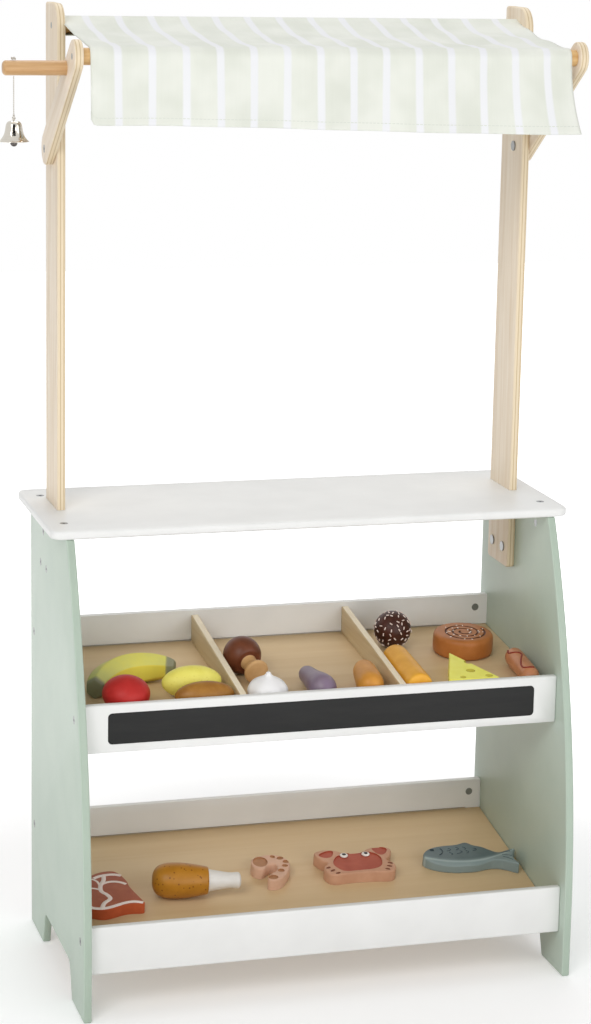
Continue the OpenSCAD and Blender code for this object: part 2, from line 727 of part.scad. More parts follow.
// Bell: a flared shell with a ring on its crown, shares of [radius, depth from the crown]
bell_shares = [
    [0.00, 0.00], [0.22, 0.00], [0.36, 0.03], [0.46, 0.09], [0.515, 0.18], [0.55, 0.32], [0.58, 0.48],
    [0.63, 0.62], [0.71, 0.75], [0.82, 0.87], [0.93, 0.95], [1.00, 0.985], [1.00, 1.00], [0.00, 1.00]
];
crown_drop = 1.1;
crown_z = ring_z - crown_drop;
module bell_body(r, h) { rotate_extrude() polygon([for (s = bell_shares) [s.x * r, -s.y * h]]); }
pin_r = 0.8;
pin_share = 0.26;
pin_z = crown_z - pin_share * bell_h;
pin_half_share = 0.52;
pin_half = pin_half_share * bell_r;
module bell_shell() {
    inner_share = (bell_r - bell_wall) / bell_r;
    stand() color("#CFC8B8") translate([bell_x, bell_y, 0]) difference() {
        union() {
            translate([0, 0, crown_z]) difference() {
                bell_body(bell_r, bell_h);
                translate([0, 0, -bell_wall]) bell_body(bell_r * inner_share, bell_h);
            }
            intersection() {
                translate([0, 0, ring_z]) rotate([0, 90, 0]) ring(eye_ring_r, bell_wire_r);
                translate([-bell_r, -bell_r, crown_z - bell_wall / 2])
                    cube([2 * bell_r, 2 * bell_r, bell_h]);
            }
        }
        bar_y(bell_r, 0, pin_z, pin_r + thread_clear, 2 * bell_r);
    }
}
// Cross pin inside the crown that the clapper hangs on
module clapper_pin() {
    stand() color("#B9B2A2") bar_y(bell_y + pin_half, bell_x, pin_z, pin_r, 2 * pin_half);
}
clapper_eye_r = 2;
clapper_eye_l = 2.4;
clapper_wire_r = 0.8;
clapper_drop = 1.6;
clapper_z = crown_z - bell_h - clapper_drop;
module bell_clapper() {
    stand() color("#B9B2A2") translate([bell_x, bell_y, 0]) difference() {
        union() {
            bar_y(clapper_eye_l / 2, 0, pin_z, clapper_eye_r, clapper_eye_l);
            translate([0, 0, clapper_z]) cylinder(r = clapper_wire_r, h = pin_z - clapper_z);
            translate([0, 0, clapper_z]) sphere(r = clapper_r);
        }
        bar_y(clapper_eye_l, 0, pin_z, pin_r + thread_clear, 2 * clapper_eye_l);
    }
}

// Fasteners
module through_bolt_places(x, axes) { both_sides() for (a = axes) translate([x, a.x, a.y]) children(); }
bolt_tip = 1;
module rail_bolts() {
    stand() color("#9A9A98") through_bolt_places(-outer_w, rail_axes) bolt(rail_bolt_l - bolt_tip);
}
module post_bolts() {
    stand() color("#9A9A98") through_bolt_places(-outer_w, post_axes) bolt(panel_t + post_t - bolt_tip);
}
module post_nuts() {
    stand() color("#C9C9C6") through_bolt_places(-post_x, post_axes) sleeve_nut(post_t - fit);
}
module arm_bolts() {
    stand() color("#9A9A98") through_bolt_places(-arm_x, [arm_axis]) bolt(arm_t + post_t - bolt_tip);
}
module arm_nuts() {
    stand() color("#C9C9C6") through_bolt_places(-post_x, [arm_axis]) sleeve_nut(post_t - fit);
}
module arm_dowels() {
    stand() color("#D8BE93") both_sides()
        bar_x(-half_w - dowel_l / 2 + fit, dowel_axis, dowel_r, dowel_l - 2 * fit);
}
module rail_barrel_nuts() {
    length = rail_t - skin - fit;
    backs = [-back_rail_at + length, -back_rail_at + length, -mid_rail_at + rail_t, -low_rail_at + rail_t];
    stand() color("#A9A9A6") both_sides() for (i = [0:len(rail_axes) - 1]) difference() {
        bar_y(backs[i], -half_w + nut_inset, rail_axes[i].y, nut_r, length);
        bar_x(-half_w, rail_axes[i], bolt_r + thread_clear, 2 * nut_inset);
    }
}
module counter_bolts() {
    stand() color("#9A9A98") both_sides() for (y = counter_bolt_ys)
        translate([-half_w - panel_t / 2, y, counter_z]) rotate([0, 90, 0]) bolt(counter_bolt_l - bolt_tip);
}
module counter_barrel_nuts() {
    stand() color("#A9A9A6") both_sides() for (y = counter_bolt_ys) difference() {
        bar_x(-outer_w + skin + fit, [y, panel_h - counter_nut_drop], nut_r, panel_t - skin - fit);
        translate([-half_w - panel_t / 2, y, 0]) cylinder(r = bolt_r + thread_clear, h = panel_h);
    }
}
module rod_screws() {
    stand() color("silver") both_sides() {
        translate([-arm_x, -front_rod_at, front_rod_z]) screw(screw_l);
        translate([-half_w, -post_mid, rear_rod_z]) screw(screw_l);
    }
}

// Play food. In the middle tray a piece lies at x, and at a share of the tray's depth from the
// back. Pieces beside a panel or a divider keep a named gap to it, and the others lie at a share
// of their compartment's width.
module on_middle(x, depth_share, turn = 0) {
    y = -back_rail_at - depth_share * mid_run;
    translate([x, y, mid_board_at(y)]) rotate([mid_slope, 0, 0])
        translate([0, 0, rest_gap]) rotate(turn) children();
}
divider_inner = divider_at - divider_t / 2;
divider_outer = divider_at + divider_t / 2;
bay_w = half_w - divider_outer;
// On the lower tray the places are shares of half the clear width and of the tray's depth
module on_lower(shares, turn = 0) {
    y = -back_rail_at - shares.y * low_run;
    translate([shares.x * half_w, y, low_board_at(y)]) rotate([low_slope, 0, 0])
        translate([0, 0, rest_gap]) rotate(turn) children();
}
// Turned food lying down: its axis runs along +X from its start, at the height of its radius
module lying(start, r, tip = 0) {
    translate([0, 0, r]) rotate([0, 90 + tip, 0]) translate([0, 0, start]) children();
}

// Half of an ellipse, as turned shares
oval_steps = 18;
oval_shares = [for (i = [0:oval_steps]) let (a = 180 * i / oval_steps) [(1 - cos(a)) / 2, sin(a)]];

tomato_bay_share = 0.312;
tomato_depth_share = 0.872;
module tomato() {
    stand() color("#C8302F") on_middle(-half_w + tomato_bay_share * bay_w, tomato_depth_share)
        lathe(oval_shares, tomato_h, tomato_r);
}

banana_bay_share = 0.544;
banana_depth_share = 0.860;
banana_start_angle = 151;
banana_end_angle = 66;
banana_rings = 16;
banana_sides = 12;
banana_end_shares = [0.72, 0.44];
banana_fullness = 0.6;
function banana_taper(s) = let (tip = banana_end_shares[0] * (1 - s) + banana_end_shares[1] * s)
    tip + (1 - tip) * pow(sin(180 * s), banana_fullness);
module banana() {
    points = [for (k = [0:banana_rings], i = [0:banana_sides - 1]) let (
            a = banana_start_angle + (banana_end_angle - banana_start_angle) * k / banana_rings,
            r = banana_r * banana_taper(k / banana_rings),
            lift = k < banana_rings / 2 ? r : banana_r,
            b = 360 * i / banana_sides,
            reach = banana_bend_r + r * cos(b))
        [reach * cos(a), reach * sin(a), lift + r * sin(b)]];
    n = banana_sides;
    faces = concat(
        [[for (i = [0:n - 1]) i]],
        [for (k = [0:banana_rings - 1], i = [0:n - 1]) let (j = (i + 1) % n)
            each [[k * n + i, (k + 1) * n + j, k * n + j], [k * n + i, (k + 1) * n + i, (k + 1) * n + j]]],
        [[for (i = [n - 1:-1:0]) banana_rings * n + i]]);
    stand() color("#C9C13E") on_middle(-half_w + banana_bay_share * bay_w, banana_depth_share)
        polyhedron(points, faces);
}

lemon_gap = 8;
lemon_depth_share = 0.757;
lemon_shares = [
    [0.00, 0.00], [0.00, 0.10], [0.04, 0.20], [0.08, 0.42], [0.16, 0.68], [0.28, 0.90], [0.42, 1.00],
    [0.58, 1.00], [0.72, 0.90], [0.84, 0.68], [0.92, 0.42], [0.96, 0.20], [1.00, 0.10], [1.00, 0.00]
];
module lemon() {
    stand() color("#E6DC4A") on_middle(-divider_outer - lemon_gap - lemon_l / 2, lemon_depth_share)
        lying(-lemon_l / 2, lemon_r) lathe(lemon_shares, lemon_l, lemon_r);
}

bun_gap = 1.5;
bun_depth_share = 0.914;
module bread_roll() {
    stand() color("#A86E2C") on_middle(-divider_outer - bun_gap - bun_l / 2, bun_depth_share)
        lying(-bun_l / 2, bun_r) lathe(oval_shares, bun_l, bun_r);
}

mushroom_gap = 2;
mushroom_depth_share = 0.490;
mushroom_turn = -79;
mushroom_tip = 9.5;
cap_under_share = 0.45;
stem_neck_share = 0.40;
stem_foot_share = 0.66;
stem_flare_share = 0.28;
module mushroom() {
    r = mushroom_r;
    under = asin(cap_under_share);
    flare = stem_flare_share * mushroom_stem;
    stand() color("#5F3322")
        on_middle(-divider_inner + mushroom_gap + mushroom_r, mushroom_depth_share, mushroom_turn)
            lying(0, r, mushroom_tip)
        rotate_extrude() polygon(concat(
            arc([0, 0], r, -90, under, oval_steps),
            [[stem_neck_share * r, cap_under_share * r], [stem_neck_share * r, mushroom_stem - flare],
                [stem_foot_share * r, mushroom_stem - flare / 2], [stem_foot_share * r, mushroom_stem],
                [0, mushroom_stem]]));
}

garlic_gap = 7.5;
garlic_depth_share = 0.880;
garlic_shares = [
    [0.00, 0.00], [0.00, 0.45], [0.10, 0.80], [0.28, 0.98], [0.42, 1.00], [0.55, 0.94], [0.68, 0.74],
    [0.78, 0.44], [0.83, 0.25], [0.90, 0.18], [0.97, 0.15], [1.00, 0.08], [1.00, 0.00]
];
module garlic() {
    stand() color("#ECEBEA") on_middle(-divider_inner + garlic_gap + garlic_r, garlic_depth_share)
        lathe(garlic_shares, garlic_h, garlic_r);
}

aubergine_bay_share = 0.043;
aubergine_depth_share = 0.918;
aubergine_turn = 93;
aubergine_tip = 4.5;
aubergine_wide_share = 0.208;
aubergine_shares = [
    [0.00, 0.00], [0.00, 0.20], [0.03, 0.50], [0.08, 0.78], [0.14, 0.95], [0.22, 1.00], [0.32, 0.97],
    [0.45, 0.87], [0.60, 0.74], [0.75, 0.67], [0.86, 0.65], [0.93, 0.58], [0.98, 0.42], [1.00, 0.25],
    [1.00, 0.00]
];
module aubergine() {
    stand() color("#6B5A78")
        on_middle(aubergine_bay_share * divider_inner, aubergine_depth_share, aubergine_turn)
        lying(-aubergine_wide_share * aubergine_l, aubergine_r, aubergine_tip)
            lathe(aubergine_shares, aubergine_l, aubergine_r);
}

carrot_small_gap = 10.5;
carrot_small_depth_share = 0.835;
carrot_small_turn = 82;
carrot_small_shares = [
    [0.00, 0.00], [0.00, 0.75], [0.02, 0.92], [0.06, 1.00], [0.30, 0.97], [0.75, 0.86], [0.90, 0.80],
    [0.97, 0.66], [1.00, 0.40], [1.00, 0.00]
];
module carrot_small() {
    stand() color("#D9963C") on_middle(divider_inner - carrot_small_gap - carrot_small_r,
        carrot_small_depth_share, carrot_small_turn)
        lying(-carrot_small_l / 2, carrot_small_r)
            lathe(carrot_small_shares, carrot_small_l, carrot_small_r);
}

carrot_large_gap = 2;
carrot_large_front_gap = 3.5;
carrot_large_depth_share = 1 - (carrot_large_front_gap + carrot_large_l / 2) / mid_run;
carrot_large_shares = [
    [0.00, 0.00], [0.00, 0.80], [0.03, 0.95], [0.08, 1.00], [0.92, 1.00], [0.98, 0.95], [1.00, 0.85],
    [1.00, 0.00]
];
module carrot_large() {
    stand() color("#E0A23C") on_middle(divider_outer + carrot_large_gap + carrot_large_r,
        carrot_large_depth_share, 90)
        lying(-carrot_large_l / 2, carrot_large_r)
            lathe(carrot_large_shares, carrot_large_l, carrot_large_r);
}

choc_gap = 15.5;
choc_depth_share = 0.258;
module chocolate_ball() {
    stand() color("#4A2A1E") on_middle(divider_outer + choc_gap + choc_r, choc_depth_share)
        translate([0, 0, choc_r]) sphere(r = choc_r);
}

cinnamon_bay_share = 0.6555;
cinnamon_depth_share = 0.378;
cinnamon_edge_share = 0.2;
cinnamon_steps = 4;
module cinnamon_bun() {
    e = cinnamon_edge_share * cinnamon_h;
    stand() color("#B97A43") on_middle(divider_outer + cinnamon_bay_share * bay_w, cinnamon_depth_share)
        rotate_extrude() polygon(concat(
        [[0, 0]],
        arc([cinnamon_r - e, e], e, 270, 360, cinnamon_steps),
        arc([cinnamon_r - e, cinnamon_h - e], e, 0, 90, cinnamon_steps),
        [[0, cinnamon_h]]));
}

cheese_bay_share = 0.463;
cheese_front_gap = 11;
cheese_depth_share = 1 - (cheese_front_gap + cheese_l) / mid_run;
cheese_side_share = 0.53;
module cheese_wedge() {
    stand() color("#E9DF5A") on_middle(divider_outer + cheese_bay_share * bay_w, cheese_depth_share)
        linear_extrude(cheese_h) polygon([
        [0, 0],
        [-(1 - cheese_side_share) * cheese_w, -cheese_l],
        [cheese_side_share * cheese_w, -cheese_l]]);
}

sausage_gap = 7.5;
sausage_depth_share = 0.757;
sausage_turn = 87;
module sausage() {
    r = sausage_r;
    stand() color("#C28A63") on_middle(half_w - sausage_gap - sausage_r, sausage_depth_share, sausage_turn)
        lying(0, r)
        rotate_extrude() polygon(concat(
            arc([0, r - sausage_l / 2], r, -90, 0), arc([0, sausage_l / 2 - r], r, 0, 90)));
}

module slab(shares, w, l) { linear_extrude(slab_t) polygon(soften(soften(spread(shares, w, l)))); }

steak_place_shares = [-0.828, 0.555];
steak_shares = [
    [0.163, 0.51], [0.29, 0.44], [0.39, 0.18], [0.37, 0.07], [0.515, -0.35], [0.54, -0.42],
    [0.21, -0.39], [-0.06, -0.48], [-0.24, -0.50], [-0.47, -0.39], [-0.52, -0.08], [-0.32, 0.31],
    [-0.14, 0.46]
];
module steak() {
    stand() color("#A0442F") on_lower(steak_place_shares) slab(steak_shares, steak_w, steak_l);
}

drumstick_place_shares = [-0.526, 0.573];
drumstick_turn = -9;
drumstick_mid_share = 0.32;
drumstick_shares = [
    [0.00, 0.00], [0.00, 0.30], [0.02, 0.60], [0.06, 0.82], [0.13, 0.96], [0.22, 1.00], [0.33, 0.99],
    [0.45, 0.92], [0.56, 0.82], [0.64, 0.76], [0.645, 0.62], [0.72, 0.56], [0.82, 0.46], [0.90, 0.42],
    [0.95, 0.47], [0.985, 0.44], [1.00, 0.25], [1.00, 0.00]
];
module drumstick() {
    stand() color("#A9741F") on_lower(drumstick_place_shares, drumstick_turn)
        lying(-drumstick_mid_share * drumstick_l, drumstick_r)
            lathe(drumstick_shares, drumstick_l, drumstick_r);
}

shrimp_place_shares = [-0.103, 0.477];
shrimp_shares = [
    [-0.12, 0.50], [-0.46, 0.40], [-0.53, 0.06], [-0.28, -0.09], [-0.06, 0.12], [0.16, 0.13], [0.12, -0.13],
    [-0.18, -0.28], [-0.31, -0.50], [0.02, -0.53], [0.28, -0.32], [0.53, 0.02], [0.50, 0.32], [0.23, 0.50]
];
module shrimp() {
    stand() color("#C89A7C") on_lower(shrimp_place_shares) slab(shrimp_shares, shrimp_w, shrimp_l);
}

crab_place_shares = [0.272, 0.484];
crab_turn = -2;
crab_half_shares = [
    [0.13, 0.33], [0.20, 0.46], [0.38, 0.53], [0.54, 0.42], [0.47, 0.12], [0.37, -0.01], [0.50, -0.20],
    [0.42, -0.54], [0.17, -0.47]
];
crab_shares = concat(crab_half_shares, [for (i = [len(crab_half_shares) - 1:-1:0])
    [-crab_half_shares[i].x, crab_half_shares[i].y]]);
module crab() {
    stand() color("#B8715A") on_lower(crab_place_shares, crab_turn) slab(crab_shares, crab_w, crab_l);
}

fish_place_shares = [0.770, 0.503];
fish_turn = -9.5;
fish_shares = [
    [-0.50, -0.12], [-0.46, 0.13], [-0.38, 0.31], [-0.26, 0.42], [-0.10, 0.47], [0.01, 0.65], [0.08, 0.45],
    [0.17, 0.39], [0.25, 0.20], [0.33, 0.05], [0.44, 0.22], [0.55, 0.34], [0.46, -0.15], [0.55, -0.62],
    [0.38, -0.34], [0.28, -0.30], [0.20, -0.33], [0.08, -0.47], [-0.08, -0.52], [-0.22, -0.52],
    [-0.35, -0.44], [-0.46, -0.28]
];
module fish() {
    stand() color("#6F8388") on_lower(fish_place_shares, fish_turn) slab(fish_shares, fish_l, fish_w);
}

side_panel_left();
side_panel_right();
countertop();
post_left();
post_right();
middle_shelf_board();
middle_front_rail();
middle_back_rail();
chalkboard();
divider_left();
divider_right();
lower_shelf_board();
lower_front_rail();
lower_back_rail();
awning_arm_left();
awning_arm_right();
awning_front_rod();
awning_rear_rod();
awning_cloth();
bell_rod();
bell_knot();
bell_cord();
bell_shell();
clapper_pin();
bell_clapper();
counter_bolts();
counter_barrel_nuts();
post_bolts();
post_nuts();
arm_bolts();
arm_nuts();
arm_dowels();
rail_bolts();
rail_barrel_nuts();
rod_screws();
divider_screws();
banana();
tomato();
lemon();
bread_roll();
mushroom();
garlic();
aubergine();
carrot_small();
carrot_large();
chocolate_ball();
cinnamon_bun();
cheese_wedge();
sausage();
steak();
drumstick();
shrimp();
crab();
fish();
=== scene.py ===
# %% [markdown]
# # A toy market stall
# The stall has two painted side panels, a countertop, two sloping trays of wooden play food,
# two posts with a cloth awning, and a small bell on a thread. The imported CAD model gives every
# place and size. Blender adds eased edges, cloth, turned and carved food, and the finishes.

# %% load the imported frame
import json
import math
import random

import bmesh
import bpy
from mathutils import Matrix, Vector, noise

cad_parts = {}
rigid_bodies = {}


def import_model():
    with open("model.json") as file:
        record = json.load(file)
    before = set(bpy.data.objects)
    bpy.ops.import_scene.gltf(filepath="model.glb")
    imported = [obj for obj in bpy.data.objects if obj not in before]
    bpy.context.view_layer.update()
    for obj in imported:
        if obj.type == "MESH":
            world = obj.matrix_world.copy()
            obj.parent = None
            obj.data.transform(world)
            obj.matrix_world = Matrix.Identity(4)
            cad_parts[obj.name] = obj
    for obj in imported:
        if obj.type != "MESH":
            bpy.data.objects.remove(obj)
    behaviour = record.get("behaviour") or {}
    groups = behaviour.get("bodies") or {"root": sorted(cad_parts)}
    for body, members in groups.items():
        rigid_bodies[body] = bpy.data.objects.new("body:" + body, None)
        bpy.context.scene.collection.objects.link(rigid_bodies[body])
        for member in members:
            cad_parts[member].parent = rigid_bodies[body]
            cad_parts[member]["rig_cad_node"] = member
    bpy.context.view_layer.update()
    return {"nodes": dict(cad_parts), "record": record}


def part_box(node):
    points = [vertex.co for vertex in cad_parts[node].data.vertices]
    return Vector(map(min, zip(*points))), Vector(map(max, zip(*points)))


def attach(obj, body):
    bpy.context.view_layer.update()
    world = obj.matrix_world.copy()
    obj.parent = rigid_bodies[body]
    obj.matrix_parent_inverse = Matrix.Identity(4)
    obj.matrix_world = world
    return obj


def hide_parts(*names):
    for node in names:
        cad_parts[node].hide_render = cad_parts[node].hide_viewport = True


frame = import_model()

# %% [markdown]
# ## Places
# The CAD source measures in millimetres from the stall's own lines: the middle between its
# panels, the panels' back edge, and the floor. One function turns such a place into metres in
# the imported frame, so the numbers below can be compared with a tape measure on the real stall.

# %% places in millimetres
MM = 0.001
MIDDLE_X, BACK_Y = 29.25, 165.5  # the stall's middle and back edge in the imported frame


def stall_point(x, y, z):
    return Vector((x + MIDDLE_X, y + BACK_Y, z)) * MM


# %% [markdown]
# ## Camera
# The photograph was taken from the left and a little above, with a long lens. Its turn, tilt
# and place were worked out from the straight edges and bolts of the stall. The small shift puts
# the picture's middle where the photograph has it.

# %% camera at the photograph's viewing angle
PICTURE_W, PICTURE_H = 591, 1024
FOCAL_PX, AIM_X, AIM_Y = 2680.5, 321.45, 473.68  # focal length and aim in pixels
turn, tilt, roll = 0.2902, -0.2120, 0.0210
eye = stall_point(-876.0, -3173.1, 1276.2)
across = Vector((math.cos(turn), -math.sin(turn), 0))
ahead = Vector((math.sin(turn), math.cos(turn), 0))
up = Vector((0, 0, 1))
forward = math.cos(tilt) * ahead + math.sin(tilt) * up
upward = math.cos(tilt) * up - math.sin(tilt) * ahead
right_side = math.cos(roll) * across + math.sin(roll) * upward
top_side = math.cos(roll) * upward - math.sin(roll) * across
lens = bpy.data.cameras.new("camera")
lens.sensor_width = 36
lens.lens = FOCAL_PX * lens.sensor_width / PICTURE_H
lens.shift_x = (PICTURE_W / 2 - AIM_X) / PICTURE_H
lens.shift_y = (AIM_Y - PICTURE_H / 2) / PICTURE_H
camera = bpy.data.objects.new("camera", lens)
camera.matrix_world = Matrix((right_side, top_side, -forward)).transposed().to_4x4()
camera.matrix_world.translation = eye
bpy.context.scene.collection.objects.link(camera)
bpy.context.scene.camera = camera
print("camera", [round(v, 3) for v in eye])

# %% [markdown]
# ## Colours and nodes
# A colour is written as the sRGB hex value that the eye would name, and one function turns it
# into the linear numbers that a shader wants. One more small function adds a node, with its
# settings and its links, so each material reads as a short list of what the surface shows. A
# node that is given as an input stands for its first live output.


# %% helpers for materials
def linear(code):
    channels = [int(code[i:i + 2], 16) / 255 for i in (1, 3, 5)]
    return (*[c / 12.92 if c <= 0.04045 else ((c + 0.055) / 1.055) ** 2.4 for c in channels], 1.0)


def set_inputs(tree, node, inputs):
    for name, value in inputs.items():
        if isinstance(value, bpy.types.Node):
            value = next(socket for socket in value.outputs if socket.enabled)
        if isinstance(value, bpy.types.NodeSocket):
            tree.links.new(value, node.inputs[name])
        else:
            node.inputs[name].default_value = value
    return node


def add(tree, kind, inputs=None, **settings):
    node = tree.nodes.new("ShaderNode" + kind)
    for name, value in settings.items():
        setattr(node, name, value)
    return set_inputs(tree, node, inputs or {})


def start_material(name, **values):
    material = bpy.data.materials.new(name)
    material.use_nodes = True
    tree = material.node_tree
    shader = tree.nodes["Principled BSDF"]
    set_inputs(tree, shader, {socket.replace("_", " "): value for socket, value in values.items()})
    return material, tree, shader


print("mint as linear light", [round(c, 3) for c in linear("#C5D0C5")])

# %% [markdown]
# ## Thread
# The bell hangs from its rod on a thin white thread of two twisted plies. A thread is a curve
# with a round section, so it keeps one even thickness along its length. The twist winds round
# the thread's own middle line, so its angle comes from the place across it and its height. The
# white is painted in greys, darker in the grooves between the plies, as painted shade.

# %% twisted cotton
BELL_X, BELL_Y, ROD_Z = -358.5, -225.0, 1085.3
ROD_R, THREAD_R, EYE_R, DROP = 8.25, 0.6, 1.5, 46
SWING_Z = ROD_Z - ROD_R - THREAD_R - 0.3
EYE_Z = SWING_Z - DROP
TWIST_MM = 2.4  # one turn of the plies, drawn three times as long as the real twist so it shows
thread_top = stall_point(BELL_X, BELL_Y, SWING_Z)

white_thread, tree, shader = start_material("twisted_cotton_thread", Roughness=0.85, Sheen_Weight=0.3)
place = add(tree, "TexCoord")
middle = add(tree, "Mapping", {"Vector": place.outputs["Object"], "Location": -thread_top})
parts = add(tree, "SeparateXYZ", {0: middle})
angle = add(tree, "Math", {0: parts.outputs[1], 1: parts.outputs[0]}, operation="ARCTAN2")
height = add(tree, "Math", {0: parts.outputs[2], 1: math.tau / (TWIST_MM * MM)}, operation="MULTIPLY")
winding = add(tree, "Math", {0: height, 1: angle}, operation="ADD")
plies = add(tree, "Math", {0: winding}, operation="SINE")
shade = add(tree, "MapRange", {"Value": plies, "From Min": -1.0})
# Painted shade: the white cotton is drawn in two greys, the darker one in the grooves between the plies
colour = add(tree, "Mix", {0: shade, 6: linear("#B5B0A6"), 7: linear("#DEDAD2")}, data_type="RGBA")
relief = add(tree, "Bump", {"Height": shade, "Distance": 0.15 * MM})
set_inputs(tree, shader, {"Base Color": colour, "Normal": relief})
print("thread material", white_thread.name)


# %% hanging thread
def round_line(name, points, radius, fineness, closed=False):
    """A curve with a round section of a radius in millimetres, through points in metres."""
    line = bpy.data.curves.new(name, "CURVE")
    line.dimensions, line.bevel_depth, line.bevel_resolution = "3D", radius * MM, fineness
    line.use_fill_caps = not closed
    spline = line.splines.new("POLY")
    spline.use_cyclic_u = closed
    spline.points.add(len(points) - 1)
    for spot, point in zip(spline.points, points):
        spot.co = (*point, 1)
    piece = bpy.data.objects.new(name, line)
    bpy.context.scene.collection.objects.link(piece)
    return piece


THREAD_STEPS = 23
thread_length = (SWING_Z - EYE_Z - EYE_R) * MM
thread_points = [thread_top - up * thread_length * i / THREAD_STEPS for i in range(THREAD_STEPS + 1)]
thread = round_line("bell_thread_line", thread_points, THREAD_R, 4)
print("free thread", round(thread_length / MM, 1), "mm")

# %% [markdown]
# ## Working by hand
# Operators act on whatever is selected, so each step first selects one piece alone, and a new
# primitive starts with nothing selected. In edit mode the vertices, edges or faces are then
# chosen in code by their place. A finished piece is given its body and its material, and the CAD
# node that it stands for is hidden.


# %% selecting, editing and modifiers
def alone(piece):
    bpy.ops.object.select_all(action="DESELECT")
    piece.select_set(True)
    bpy.context.view_layer.objects.active = piece
    return piece


def edit(piece, kind="VERT", action="DESELECT"):
    alone(piece)
    bpy.ops.object.mode_set(mode="EDIT")
    bpy.ops.mesh.select_mode(type=kind)
    bpy.ops.mesh.select_all(action=action)
    return bmesh.from_edit_mesh(piece.data)


def leave(piece, smooth=35):
    bmesh.update_edit_mesh(piece.data)
    bpy.ops.object.mode_set(mode="OBJECT")
    if smooth:
        bpy.ops.object.shade_smooth_by_angle(angle=math.radians(smooth))
    return piece


def use(piece, kind, **settings):
    alone(piece)
    bpy.ops.object.modifier_add(type=kind)
    modifier = piece.modifiers[-1]
    for name, value in settings.items():
        setattr(modifier, name, value)
    bpy.ops.object.modifier_apply(modifier=modifier.name)
    return piece


print("helpers", [helper.__name__ for helper in (alone, edit, leave, use)])


# %% new pieces and their hand-over
def named(name):
    piece = bpy.context.object
    piece.name = piece.data.name = name
    return piece


def begin(primitive, name, **settings):
    """A new primitive, with its place and turn applied to its mesh."""
    bpy.ops.object.select_all(action="DESELECT")
    primitive(**settings)
    piece = named(name)
    bpy.ops.object.transform_apply()
    return piece


def hand_over(piece, body, slot, materials, *nodes):
    if materials:
        piece.data.materials.clear()
        for material in materials:
            piece.data.materials.append(material)
    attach(piece, body)
    if nodes:
        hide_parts(*nodes)
    return piece


def refinish(node, material):
    slots = frame["nodes"][node].data.materials
    slots.clear()
    slots.append(material)


print("helpers", [helper.__name__ for helper in (named, begin, hand_over, refinish)])

# %% [markdown]
# ## Eye and knot
# At its lower end the thread is tied in a small eye that goes through the bell's ring. The eye
# bends too tightly to be part of the hanging length, so it is a piece of its own: a ring with
# three tight whippings above it. On top of the rod an overhand knot keeps the thread from
# slipping through. Its curve is a trefoil, made a mesh once it is in place.

# %% tied eye
ring_size = {"major_radius": EYE_R * MM, "minor_radius": THREAD_R * MM,
             "major_segments": 32, "minor_segments": 12}
whippings = [stall_point(BELL_X, BELL_Y, EYE_Z + EYE_R + 0.7 + 0.8 * i) for i in range(3)]
thread_eye = begin(bpy.ops.mesh.primitive_torus_add, "bell_thread_eye",
                   location=stall_point(BELL_X, BELL_Y, EYE_Z), rotation=(math.pi / 2, 0, 0), **ring_size)
bpy.ops.object.mode_set(mode="EDIT")
for whipping in whippings:
    bpy.ops.mesh.primitive_torus_add(location=whipping, rotation=(0.25, 0, 0), major_radius=0.75 * MM,
                                     minor_radius=0.42 * MM, major_segments=20, minor_segments=8)
leave(thread_eye, 60)
hand_over(thread_eye, "bell_thread", "white_thread", [white_thread])
hand_over(thread, "bell_thread", "white_thread", [white_thread], "bell_cord")
print("eye with", len(whippings), "whippings")

# %% overhand knot on the rod
KNOT_MM, KNOT_POINTS, KNOT_LIFT = 0.95, 48, 2.1
knot_middle = stall_point(BELL_X, BELL_Y, ROD_Z + ROD_R + KNOT_LIFT)
trefoil = []
for a in (math.tau * i / KNOT_POINTS for i in range(KNOT_POINTS)):
    x, y = math.sin(a) + 1.6 * math.sin(2 * a), math.cos(a) - 1.6 * math.cos(2 * a)
    trefoil.append(knot_middle + Vector((x, y, -1.2 * math.sin(3 * a))) * KNOT_MM * MM)
knot = round_line("bell_thread_knot", trefoil, THREAD_R, 3, closed=True)
alone(knot)
bpy.ops.object.convert(target="MESH")
edit(knot)
leave(knot, 60)
hand_over(knot, "stall", "white_thread", [white_thread], "bell_knot")
print("knot", len(knot.data.polygons), "faces")

# %% [markdown]
# ## Painted boards
# The panels are sprayed with a satin mint paint, and the countertop and rails with a satin
# white. Sprayed paint levels out to a faint orange peel and shows the board's fibres a little,
# so the colour drifts by a few hundredths and a fine bump breaks up the highlight.


# %% satin paint
def satin_paint(name, code, drift):
    material, tree, shader = start_material(name, IOR=1.5)
    place = add(tree, "TexCoord").outputs["Object"]
    clouds = add(tree, "TexNoise", {"Vector": place, "Scale": 1 / (70 * MM), "Detail": 3.0})
    # Real orange peel is under 1 mm across and is drawn coarser so that it shows
    peel = add(tree, "TexNoise", {"Vector": place, "Scale": 1 / (3 * MM), "Detail": 2.0})
    amount = add(tree, "MapRange", {"Value": clouds, "From Min": 0.35, "From Max": 0.65})
    colour = add(tree, "Mix", {0: amount, 6: linear(code), 7: linear(drift)}, data_type="RGBA")
    gloss = add(tree, "MapRange", {"Value": peel, "To Min": 0.36, "To Max": 0.48})
    relief = add(tree, "Bump", {"Height": peel, "Distance": 0.05 * MM, "Strength": 0.6})
    set_inputs(tree, shader, {"Base Color": colour, "Roughness": gloss, "Normal": relief})
    return material


mint_paint = satin_paint("mint_satin_paint_on_plywood", "#BDCBBD", "#B8C7B9")
# Sawn edges drink more paint than faces do and dry a shade darker
mint_edge_paint = satin_paint("mint_satin_paint_on_sawn_edges", "#AEBEAE", "#A8B8A9")
white_paint = satin_paint("white_satin_paint_on_plywood", "#EBEBE9", "#E6E6E4")
print("paints", mint_paint.name, white_paint.name)

# %% [markdown]
# ## Lacquered woods
# Posts, arms, trays and dividers are birch plywood under clear lacquer, and the rods are beech.
# Wood is pale early growth with darker late growth in long streaks, with fine pores along the
# grain. Stretching a noise along the grain gives the streaks. On the sawn edges of plywood the
# glued veneers show as thin bands, so a mask from the surface's direction puts them there.


